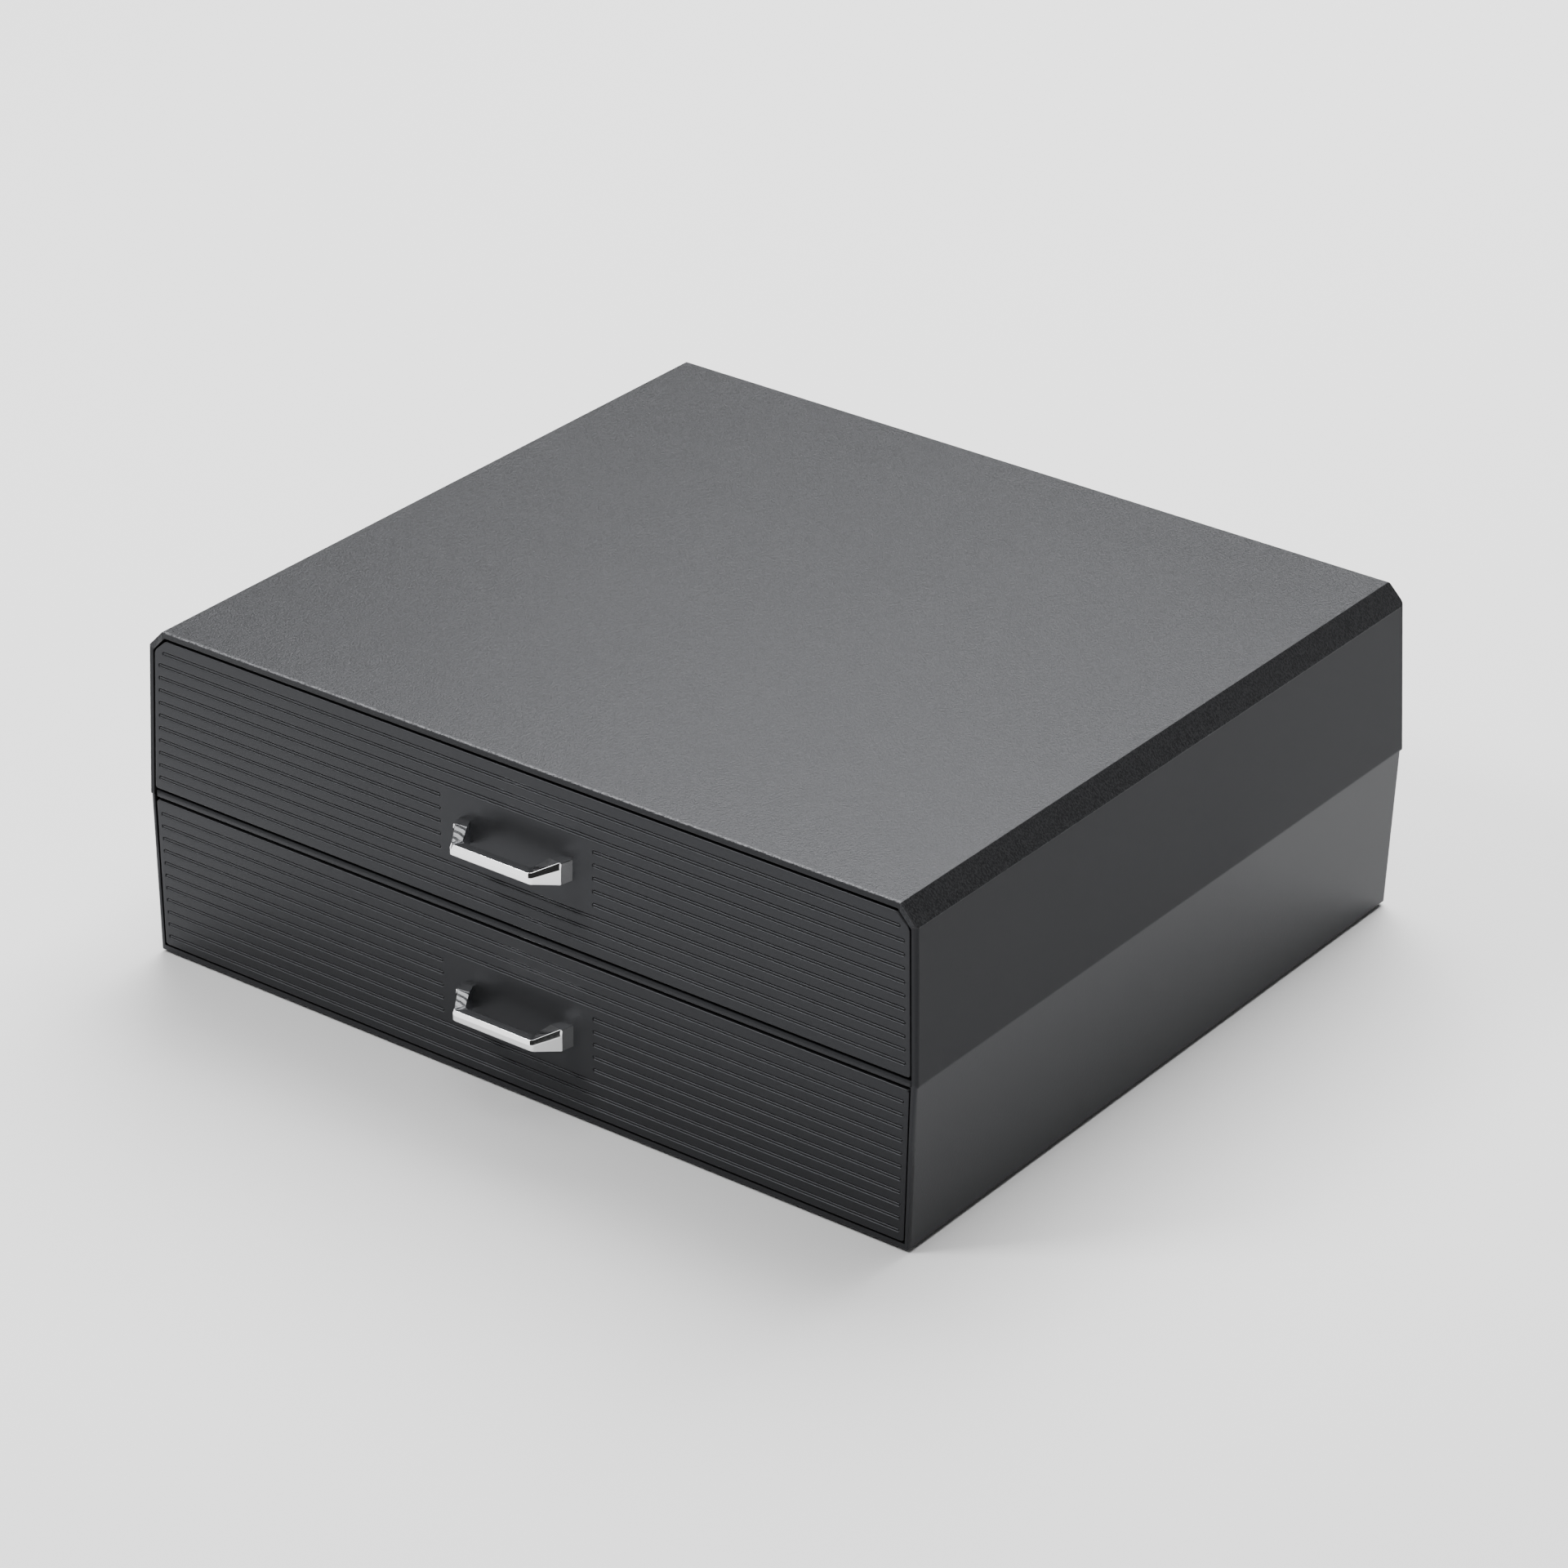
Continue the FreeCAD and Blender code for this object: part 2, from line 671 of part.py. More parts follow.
def make_front(drawer):
    """A ribbed front: a plate with a skirt and blocks behind and grooves before."""
    body = new_body(f"{drawer.name}_drawer_front")
    face = new_sketch(body, "XZ_Plane", "face_outline")
    add_polygon(face, drawer.outline)
    plate = add_feature(body, "Pad", "plate", face, TRAY_FRONT, backwards=True)
    round_edges(body, "corners", plate, lambda m, e: along(e, 1, 2), S["front_corner"])
    recess = new_sketch(body, "XZ_Plane", "back_recess", -TRAY_FRONT)
    add_polygon(recess, shrink(drawer.outline, S["skirt_wall"]))
    add_feature(body, "Pocket", "hollow_back", recess, S["front_skirt"], backwards=True)

    # Blocks behind the plate: blind holes for the tray's screws, open ones for the handle's.
    buried = 0.2
    blocks = new_sketch(body, "XZ_Plane", "block_outline", buried - S["front_thick"])
    bores = new_sketch(body, "XZ_Plane", "bore_outline", -TRAY_FRONT)
    holes = new_sketch(body, "XZ_Plane", "hole_outline", -TRAY_FRONT)
    low = S["handle_level"] - S["front_block"] / 2
    high = S["handle_level"] + S["front_block"] / 2
    for x, level in front_screw_places():
        half = S["front_block"] / 2
        add_rectangle(blocks, x - half, low, x + half, high)
        add_circle(bores, x, level, S["small_screw_radius"])
    add_rectangle(blocks, -S["handle_block"] / 2, low, S["handle_block"] / 2, high)
    for x, level in handle_screw_places():
        add_circle(holes, x, level, S["small_screw_clearance"])
    add_feature(body, "Pad", "blocks", blocks, S["front_skirt"] + buried, backwards=True)
    bite = S["front_screw_length"] - S["tray_wall"] + 1
    add_feature(body, "Pocket", "bores", bores, bite, backwards=True)
    add_feature(body, "Pocket", "holes", holes, TRAY_FRONT, backwards=True)
    if drawer.lean:
        trim_back(body, drawer)

    # Each groove is a shallow slot with a bead left standing along its middle.
    grooves = new_sketch(body, "XZ_Plane", "groove_outline")
    beads = new_sketch(body, "XZ_Plane", "bead_outline", -S["groove_depth"] - 0.1)
    end_play = S["groove_half"] * 1.4
    for left, right, level in groove_runs(drawer):
        add_rectangle(grooves, left, level - S["groove_half"],
                      right, level + S["groove_half"])
        add_rectangle(beads, left + end_play, level - S["bead_half"],
                      right - end_play, level + S["bead_half"])
    slots = add_feature(body, "Pocket", "grooves", grooves, S["groove_depth"])
    depth = S["groove_depth"].value
    chamfer(body, "groove_ends", slots,
            lambda m, e: near(m.y, depth / 2, 0.01) and along(e, 1, depth / 2),
            S["groove_corner"])
    ridge = add_feature(body, "Pad", "beads", beads, S["bead_height"] + 0.1)
    crest = depth - S["bead_height"].value
    chamfer(body, "bead_bevels", ridge,
            lambda m, e: near(m.y, crest, 0.01) and along(e, 0, 20), S["bead_bevel"])
    place(body, 0, CASE_Y + drawer.setback, S["foot_height"] + drawer.foot, drawer.lean)
    return body


def trim_back(body, drawer):
    """Cuts the back of a leaning front upright, to seat on the tray."""
    height = drawer.outline[1][1]
    over = 2
    wedge = new_sketch(body, "YZ_Plane", "wedge_outline")
    start = TRAY_FRONT - drawer.setback
    add_polygon(wedge, [(start - drawer.lean * over, -over),
                        (TRAY_FRONT + over, -over),
                        (TRAY_FRONT + over, height + over),
                        (start + drawer.lean * (height + over), height + over)])
    add_feature(body, "Pocket", "trim", wedge, HALF * 2, both_sides=True)


def front_screw_places():
    """Screws that hold the front to its tray: X, and level above the front's foot."""
    return [(S["front_screw_place"] * side, S["handle_level"]) for side in (-1, 1)]


def handle_screw_places():
    """Screws that hold the handle, measured in the same way."""
    return [(S["handle_screw_place"] * side, S["handle_level"]) for side in (-1, 1)]


def make_tray(drawer):
    """An open tray with slide flanges, stop lugs and guides for the dividers."""
    body = new_body(f"{drawer.name}_drawer_tray")
    wall = S["tray_wall"]
    rim = new_sketch(body, "XY_Plane", "rim_outline", S["tray_height"])
    add_rectangle(rim, -S["tray_half"], TRAY_FRONT, S["tray_half"], TRAY_BACK)
    block = add_feature(body, "Pad", "block", rim, S["tray_height"], backwards=True)
    top = face_at(2, S["tray_height"])
    back_face = face_at(1, TRAY_BACK)
    drafted = draft_faces(
        body, "draft", block, lambda c, n: abs(n.x) > 0.9 or back_face(c, n), top,
        S["tray_taper"], S["tray_height"], below=True)
    corners = round_edges(body, "corners", drafted, lambda m, e: along(e, 2, 20),
                          S["tray_corner"])
    shell_out(body, "hollow", corners, top, wall)

    flange = new_sketch(body, "XY_Plane", "flange_outline", S["tray_height"])
    lugs = new_sketch(body, "XY_Plane", "lug_outline", S["tray_height"] - 0.5)
    lug_start = TRAY_FRONT + S["lug_place"]
    for side in (-1, 1):
        left, right = span(side, S["tray_half"] - 0.6, S["flange_half"])
        add_rectangle(flange, left, TRAY_FRONT + 3, right, TRAY_BACK - 6)
        left, right = span(side, S["tray_half"] - wall + 0.1, S["tray_half"] - 0.1)
        add_rectangle(lugs, left, lug_start, right, lug_start + S["lug_length"])
    add_feature(body, "Pad", "flange", flange, S["flange_thick"], backwards=True)
    add_feature(body, "Pad", "lugs", lugs, S["lug_height"] + 0.5)

    guides = new_sketch(body, "XY_Plane", "guide_outline", wall - 0.2)
    front_wall = TRAY_FRONT + wall
    back_wall = TRAY_BACK - S["tray_taper"] - wall
    for middle in divider_places():
        for side in (-1, 1):
            near_x = (S["divider_thick"] + S["divider_gap"]) / 2
            left, right = span(side, near_x, near_x + S["guide_thick"])
            add_rectangle(guides, middle + left, front_wall - 0.3, middle + right,
                          front_wall + S["guide_reach"])
            add_rectangle(guides, middle + left, back_wall - S["guide_reach"],
                          middle + right, back_wall + S["tray_taper"] + 0.3)
    add_feature(body, "Pad", "guides", guides, S["divider_height"] + 0.2)

    holes = new_sketch(body, "XZ_Plane", "screw_holes", -front_wall)
    for x, level in front_screw_places() + handle_screw_places():
        height = drawer.foot - drawer.tray_foot + level
        add_circle(holes, x, height + drawer.rise, S["small_screw_clearance"])
    add_feature(body, "Pocket", "holes", holes, wall, backwards=True)
    place(body, 0, CASE_Y, S["foot_height"] + drawer.tray_foot)
    return body


def divider_places():
    """Middles of the dividers, evenly spaced across the tray's floor."""
    clear = (S["tray_half"] - S["tray_taper"] - S["tray_wall"]) * 2
    lane = clear / S["lane_count"]
    count = int(S["lane_count"].value) - 1
    return [lane * (number + 1) - clear / 2 for number in range(count)]


def make_dividers(drawer):
    """Upright panels that drop between the guides and part the lanes."""
    front = TRAY_FRONT + S["tray_wall"] + S["divider_gap"]
    back = TRAY_BACK - S["tray_taper"] - S["tray_wall"] - S["divider_gap"]
    top = S["divider_height"]
    floor = S["foot_height"] + drawer.tray_foot + S["tray_wall"]
    for number, x in enumerate(divider_places(), start=1):
        body = new_body(f"{drawer.name}_divider_{number}")
        side = new_sketch(body, "YZ_Plane", "side_outline")
        add_rectangle(side, front, 0, back, top)
        panel = add_feature(body, "Pad", "panel", side, S["divider_thick"], both_sides=True)
        round_edges(body, "top_corners", panel, lambda m, e: along(e, 0) and near(m.z, top),
                    S["divider_corner"])
        place(body, x, CASE_Y, floor + S["divider_lift"])


def handle_ring(side, station):
    """Corners of the handle's upright section, from its inner to its outer edge."""
    inner, outer, half, facet = station
    inner = FreeCAD.Vector(inner[0].value * side, -as_dim(inner[1]).value, 0)
    outer = FreeCAD.Vector(outer[0].value * side, -as_dim(outer[1]).value, 0)
    outwards = (outer - inner).normalize()
    under = S["under_bevel"].value
    half = half.value
    ring = [inner - UP * half, outer - outwards * under - UP * half,
            outer - UP * (half - under)]
    if facet:
        ring += [outer + UP * (half - facet.value),
                 outer - outwards * S["facet_in"].value + UP * half]
    else:
        ring += [outer + UP * half]
    return ring + [inner + UP * half]


def skin(rings):
    """A closed solid over a row of sections, with every face flat."""
    faces = [Part.Face(Part.makePolygon(ring + ring[:1])) for ring in (rings[0], rings[-1])]
    for here, there in zip(rings, rings[1:]):
        for i in range(len(here)):
            j = (i + 1) % len(here)
            quad = [here[i], there[i], there[j], here[j]]
            twist = (quad[1] - quad[0]).cross(quad[2] - quad[0]).dot(quad[3] - quad[0])
            flat = abs(twist) < 1e-6
            for corners in [quad] if flat else [quad[:3], [quad[0], quad[2], quad[3]]]:
                faces.append(Part.Face(Part.makePolygon(corners + corners[:1])))
    return Part.makeSolid(Part.makeShell(faces))


def make_handle(drawer):
    """A bridge handle: two posts, two arms that close in, and a faceted bar."""
    tall, low = S["post_half_height"], S["bar_half_height"]
    foot = (S["post_inner"], 0), (S["post_outer"], 0), tall, None
    root = ((S["arm_inner"], S["arm_inner_reach"]),
            (S["arm_outer"], S["arm_outer_reach"]), tall, None)
    arm = root[:3] + (S["arm_facet_down"],)
    bar = ((S["bar_inner"], S["bar_inner_reach"]),
           (S["bar_outer"], S["handle_reach"]), low, S["bar_facet_down"])
    shape = skin([handle_ring(-1, arm), handle_ring(-1, bar),
                  handle_ring(1, bar), handle_ring(1, arm)])
    bite = (S["handle_screw_length"] - S["tray_wall"] - TRAY_FRONT + 0.7).value
    for side in (-1, 1):
        shape = shape.fuse(skin([handle_ring(side, foot), handle_ring(side, root)]))
    for side in (-1, 1):
        base = FreeCAD.Vector(S["handle_screw_place"].value * side, 0, 0)
        bore = Part.makeCylinder(S["small_screw_radius"].value, bite, base,
                                 FreeCAD.Vector(0, -1, 0))
        shape = shape.cut(bore)
    handle = document.addObject("Part::Feature", f"{drawer.name}_handle")
    handle.Label = f"{drawer.name}_handle"
    handle.Shape = shape.removeSplitter()
    y, z = face_point(drawer, S["handle_level"])
    place(handle, 0, y, z, drawer.lean)


def face_point(drawer, level):
    """Y and Z of the front's face at a level above its foot."""
    y = CASE_Y + drawer.setback
    z = S["foot_height"] + drawer.foot + level
    return (y - drawer.lean * level if drawer.lean else y), z


def screw(radius, length, head_radius, head_height, seat, direction):
    """A screw with a hexagon head behind the seat and its shank along the direction."""
    corner = direction.cross(FreeCAD.Vector(1, 0, 0)).normalize() * head_radius
    corners = [seat + FreeCAD.Rotation(direction, 60 * number).multVec(corner)
               for number in range(6)]
    head = Part.Face(Part.makePolygon(corners + corners[:1])).extrude(
        direction * -head_height)
    shank = Part.makeCylinder(radius, length, seat, direction)
    return head.fuse(shank).removeSplitter()


def add_screws(name, solids):
    """Screws of one kind are one piece, made of separate solids."""
    group = document.addObject("Part::Feature", name)
    group.Label = name
    group.Shape = Part.makeCompound(solids)
    group.Placement = FreeCAD.Placement()


def make_shell_screws():
    """Screws from below, through the ledge and the shelf into the cover's bosses."""
    height = (S["foot_height"] + S["parting_height"] - S["ledge_thick"]).value
    play = 0.05
    add_screws("shell_screws", [
        screw(S["screw_radius"].value - play, S["shell_screw_length"].value,
              S["head_radius"].value, S["head_height"].value,
              FreeCAD.Vector(S["boss_place"].value * side, (CASE_Y + row).value, height),
              UP)
        for side in (-1, 1) for row in boss_rows()])


def make_drawer_screws(drawer):
    """Screws from inside the tray into the front and through it into the handle."""
    lean = drawer.lean.value if drawer.lean else 0
    direction = FreeCAD.Vector(0, -1, -lean).normalize()
    wall_y = (CASE_Y + TRAY_FRONT + S["tray_wall"]).value
    play = 0.05
    groups = {"front_screws": (front_screw_places(), S["front_screw_length"]),
              "handle_screws": (handle_screw_places(), S["handle_screw_length"])}
    for kind, (places, length) in groups.items():
        solids = []
        for x, level in places:
            y, z = face_point(drawer, level)
            tilt = S["small_head_radius"].value * lean
            seat = FreeCAD.Vector(x.value, wall_y + tilt,
                                  z.value + (wall_y - y.value) * lean)
            solids.append(screw(
                S["small_screw_radius"].value - play, length.value,
                S["small_head_radius"].value, S["small_head_height"].value, seat,
                direction))
        add_screws(f"{drawer.name}_{kind}", solids)


Drawer = collections.namedtuple(
    "Drawer", "name outline cut_corners foot tray_foot lean setback rise")


def describe_drawers():
    """What differs between the two drawers; the lower one leans with the tub."""
    lean = S["tub_front_lean"] / S["parting_height"]
    setback = lean * (S["parting_height"] - S["lower_front_foot"])
    rise = lean * (TRAY_FRONT + S["tray_wall"] / 2)
    return [
        Drawer("upper", upper_front_outline(), True, S["upper_front_foot"],
               UPPER_TRAY_FOOT, None, as_dim(0), as_dim(0)),
        Drawer("lower", lower_front_outline(), False, S["lower_front_foot"],
               LOWER_TRAY_FOOT, lean, setback, rise),
    ]


def main():
    make_upper_shell()
    make_lower_shell()
    make_divider_shelf()
    make_feet()
    make_shell_screws()
    for drawer in describe_drawers():
        make_front(drawer)
        make_tray(drawer)
        make_dividers(drawer)
        make_handle(drawer)
        make_drawer_screws(drawer)
    document.recompute()
    check_and_write()


def check_and_write():
    """Every object has to be sound before any file is written."""
    pieces = [item for item in document.Objects
              if item.TypeId in ("PartDesign::Body", "Part::Feature")
              and not item.getParentGeoFeatureGroup()]
    for item in document.Objects:
        if "Invalid" in item.State or "Error" in item.State:
            raise RuntimeError(f"{item.Name} failed: {item.State}")
    for piece in pieces:
        if piece.Shape.isNull() or not piece.Shape.isValid():
            raise RuntimeError(f"{piece.Label} has no valid shape")
        if piece.TypeId == "PartDesign::Body" and len(piece.Shape.Solids) != 1:
            raise RuntimeError(f"{piece.Label} is in more than one lump")
    os.makedirs("parts", exist_ok=True)
    for piece in pieces:
        piece.Shape.exportStep(f"parts/{piece.Label}.step")
        print(piece.Label, len(piece.Shape.Solids), round(piece.Shape.Volume / 1000, 2))


main()
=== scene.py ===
import math

import bmesh
import bpy
from bpy.props import FloatProperty, FloatVectorProperty, IntProperty, PointerProperty
from mathutils import Matrix, Vector


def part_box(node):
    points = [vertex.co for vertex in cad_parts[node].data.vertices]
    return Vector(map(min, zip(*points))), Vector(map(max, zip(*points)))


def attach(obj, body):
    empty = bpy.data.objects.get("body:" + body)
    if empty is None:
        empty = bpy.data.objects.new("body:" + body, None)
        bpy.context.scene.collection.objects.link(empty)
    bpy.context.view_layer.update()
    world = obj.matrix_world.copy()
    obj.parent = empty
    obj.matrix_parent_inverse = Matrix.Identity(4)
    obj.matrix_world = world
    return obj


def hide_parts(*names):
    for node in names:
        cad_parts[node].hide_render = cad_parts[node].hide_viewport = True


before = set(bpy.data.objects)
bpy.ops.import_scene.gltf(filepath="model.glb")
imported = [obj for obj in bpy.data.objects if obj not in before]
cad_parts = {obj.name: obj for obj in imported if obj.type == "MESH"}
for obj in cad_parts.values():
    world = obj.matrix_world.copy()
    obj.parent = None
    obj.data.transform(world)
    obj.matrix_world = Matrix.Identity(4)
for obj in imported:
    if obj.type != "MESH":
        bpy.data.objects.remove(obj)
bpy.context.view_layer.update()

bl_info = {
    "name": "Capsule drawer cabinet",
    "version": (1, 0, 0),
    "blender": (4, 5, 0),
    "location": "3D View > Sidebar > Capsules",
    "description": "Finishes a two-drawer cabinet for coffee capsules",
    "category": "Object",
}

MM = 0.001
CASE_LOW, CASE_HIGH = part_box("upper_shell")
RIM_Y = CASE_LOW.y        # the cover's front rim
PARTING_Z = CASE_LOW.z    # where the cover meets the tub
DECK_Z = CASE_HIGH.z
SEAT_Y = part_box("upper_drawer_tray")[0].y    # where a front's skirt meets its tray
DRAWERS = ("upper", "lower")

JOINED = 2e-6             # corners closer than this are one corner
FLUSH = 1e-6              # how far from a plane still counts as in it
COVER_DRAFT = 2.4 * MM    # the cover's sides come in by this much up to the deck

# the shelf's front edge hangs lower over its first few millimetres
LIP_DEPTH = 4 * MM
LIP_SLOPE = 0.8 * MM
LIP_DROP = 1.15 * MM

# corners of a front's right half as half width and level in millimetres, foot first
FRONT_CORNERS = {"upper": [(167.0, -0.9), (164.9, 55.1), (159.8, 59.9)],
                 "lower": [(165.7, 0), (166.7, 60.1)]}
TOP_GROOVE_END = 161.5 * MM       # the upper front's cut corners shorten its top groove
SHORT_ROWS = 2                    # rows above and below the middle one that the patch cuts
TUB_LEAN = math.atan(1.1 / 64.5)  # the tub's front leans back towards its foot
PAD_HEIGHT = 1.2 * MM
LOWER_FRONT_FOOT = 2.6 * MM       # above the tub's underside

ROUND_STEPS = 5           # steps of a groove's rounded rim and of a bead's crown
RIM_STEP = 22.5           # degrees
CROWN_STEP = 20           # degrees
GROOVE_SIDES = 16         # corners round a groove's two ends
FLOOR_BEVEL_IN = 0.06 * MM
FLOOR_BEVEL_UP = 0.08 * MM
BEAD_FLARE = 0.02 * MM    # the bead is this much wider at its foot
BEAD_REACH = 0.2 * MM     # the bead's ends reach this much further than the groove's

# blocks behind a front for the screws, from the middle of the panel
SCREW_BLOCK_PLACE = 140 * MM
SCREW_BLOCK_HALF = 4 * MM
HANDLE_BLOCK_HALF = 27 * MM
BLOCK_HALF_HEIGHT = 4 * MM
BLOCK_BITE = 0.1 * MM     # how far a block goes into the plate
BLOCK_EDGE = 0.3 * MM
SEAT_BAND = 1.2 * MM      # what lies this near the tray is pressed flat against it


def length(name, description, default):
    """A length, whose default is in millimetres."""
    return FloatProperty(name=name, description=description, default=default * MM,
                         unit="LENGTH", precision=5)


def tint(name, description, default):
    return FloatVectorProperty(name=name, description=description, default=default,
                               subtype="COLOR", size=3, min=0, max=1)


def amount(name, description, default):
    return FloatProperty(name=name, description=description, default=default)


class CaseSettings(bpy.types.PropertyGroup):
    edge: length("Edge softness", "Width of the softened edges", 0.35)
    chamfer_across: length("Chamfer width", "Width of the cut side edges", 6.6)
    chamfer_down: length("Chamfer height", "Height of the cut side edges", 7.4)
    color: tint("Plastic", "Moulded plastic of the case", (0.0105, 0.0105, 0.011))
    deck_grain: length("Deck grain", "Size of the deck's spark-eroded grain", 0.65)
    cut_grain: length("Chamfer grain", "Size of the coarse grain on the cut edges", 0.75)
    roughness: amount("Roughness", "Roughness of the case", 0.38)


class FrontSettings(bpy.types.PropertyGroup):
    color: tint("Plastic", "Moulded plastic of the fronts", (0.01, 0.01, 0.0105))
    thick: length("Thickness", "Thickness of the ribbed plate", 2.4)
    skirt: length("Skirt wall", "Wall of the skirt behind the plate", 2.0)
    corner: length("Corner", "Radius of the panel's corners", 1.2)
    edge: length("Edge softness", "Rounding round the panel's face", 0.35)
    pitch: length("Groove pitch", "Distance between grooves", 5.09)
    first: length("First groove", "Lowest groove above the panel's foot", 3.95)
    radius: length("Groove half height", "Half a groove's height at its rounded rim", 1.1)
    depth: length("Groove depth", "Depth of a groove", 0.55)
    rim: length("Groove rim", "Rounding of a groove's rim", 0.44)
    bead: length("Bead half width", "Half the width of the bead in a groove", 0.38)
    bead_height: length("Bead height", "Height of the bead above the groove's floor", 0.52)
    inset: length("Groove inset", "From the panel's side to a groove's end", 1.6)
    patch: length("Plain patch", "Half the width of the plain patch at the handle", 33)
    # painted highlight: how many times paler the upward-facing bead crowns and rims are
    # painted
    crown_highlight: amount("Highlight", "How many times paler the worn bead crowns are", 6)
    grooves: IntProperty(name="Grooves", description="Grooves in a front", default=11)


class HandleSettings(bpy.types.PropertyGroup):
    color: tint("Chrome", "Bright plating", (0.86, 0.865, 0.87))
    reach: length("Reach", "How far the bar stands off the panel", 14.4)
    level: length("Level", "Middle of the handle above the panel's foot", 29.55)
    edge: length("Edge softness", "Rounding of the handle's edges", 0.25)
    elbow: length("Elbow", "Rounding where the bar turns into its arms", 1.0)


class StageSettings(bpy.types.PropertyGroup):
    azimuth: FloatProperty(name="Azimuth", description="Camera's turn round the object",
                           default=math.radians(35.872), subtype="ANGLE")
    elevation: FloatProperty(name="Elevation", description="Camera above the horizon",
                             default=math.radians(27.721), subtype="ANGLE")
    roll: FloatProperty(name="Roll", description="Camera's own roll",
                        default=math.radians(1.121), subtype="ANGLE")
    distance: length("Distance", "From the camera to its target", 2076.3)
    lens: amount("Lens", "Focal length in millimetres", 130.03)
    target: FloatVectorProperty(name="Target", description="What the camera looks at",
                                default=(0.00005, 0.00716, 0.05985),
                                subtype="TRANSLATION", size=3)
    floor: tint("Floor", "Pale floor", (0.86, 0.86, 0.86))
    sky: amount("Room light", "Strength of the even light from all round", 0.03)


class Wire:
    """A value in a finish's node tree; arithmetic on it adds Math nodes."""

    def __init__(self, finish, socket):
        self.finish = finish
        self.socket = socket

    def math(self, operation, *others):
        return self.finish.add("ShaderNodeMath", {"operation": operation}, (self, *others))

    def __add__(self, other):
        return self.math("ADD", other)

    __radd__ = __add__

    def __mul__(self, other):
        return self.math("MULTIPLY", other)

    __rmul__ = __mul__

    def __sub__(self, other):
        return self.math("SUBTRACT", other)

    def __rsub__(self, other):
        return self.finish.add("ShaderNodeMath", {"operation": "SUBTRACT"}, (other, self))

    def __abs__(self):
        return self.math("ABSOLUTE")

    def ramp(self, start, end):
        """0 before start and 1 after end, smoothly in between."""
        settings = {"interpolation_type": "SMOOTHSTEP"}
        return self.finish.add("ShaderNodeMapRange", settings,
                               {"Value": self, "From Min": start, "From Max": end})


class Finish:
    """A material of the cabinet, made of nodes."""

    def __init__(self, name):
        self.material = bpy.data.materials.new(name)
        self.material.use_nodes = True
        self.tree = self.material.node_tree
        self.tree.nodes.clear()
        self.shader = self.tree.nodes.new("ShaderNodeBsdfPrincipled")
        output = self.tree.nodes.new("ShaderNodeOutputMaterial")
        self.tree.links.new(self.shader.outputs[0], output.inputs[0])
        place = self.tree.nodes.new("ShaderNodeTexCoord")
        self.place = Wire(self, place.outputs["Object"])
        self.facing = Wire(self, place.outputs["Normal"])

    def add(self, kind, settings=None, values=(), output=0):
        """Any node, from its type, its settings and what its sockets get."""
        node = self.tree.nodes.new(kind)
        for name, value in (settings or {}).items():
            setattr(node, name, value)
        named = values.items() if isinstance(values, dict) else enumerate(values)
        for key, value in named:
            self.feed(node.inputs[key], value)
        return Wire(self, node.outputs[output])

    def feed(self, socket, value):
        if isinstance(value, Wire):
            self.tree.links.new(value.socket, socket)
        else:
            socket.default_value = value

    def axis(self, letter, vector=None):
        """One part of the place, or of another vector."""
        return self.add("ShaderNodeSeparateXYZ", {}, (vector or self.place,),
                        "XYZ".index(letter))

    def noise(self, size, detail, stretch=(1, 1, 1)):
        """Noise whose grains are about as large as the size, in metres."""
        scaled = self.add("ShaderNodeMapping", {"vector_type": "POINT"},
                          {"Vector": self.place, "Scale": stretch})
        return self.add("ShaderNodeTexNoise", {},
                        {"Vector": scaled, "Scale": 1 / size, "Detail": detail})

    def blend(self, factor, first, second):
        """From one colour to another; a Mix node's colours are its sockets 6 and 7."""
        colors = [each if isinstance(each, Wire) else (*each, 1) for each in (first, second)]
        return self.add("ShaderNodeMix", {"data_type": "RGBA"},
                        {0: factor, 6: colors[0], 7: colors[1]}, 2)

    def relief(self, height, depth, normal=None):
        """A bump as deep as the depth, in metres, on top of another bump or of none."""
        values = {"Height": height, "Distance": depth, "Strength": 1.0}
        if normal:
            values["Normal"] = normal
        return self.add("ShaderNodeBump", {}, values)

    def set(self, **values):
        """Feeds the shader's sockets and gives the material."""
        for name, value in values.items():
            self.feed(self.shader.inputs[name.replace("_", " ")], value)
        return self.material


def shade(color, factor):
    """A colour made paler or darker."""
    return tuple(min(1.0, channel * factor) for channel in color)


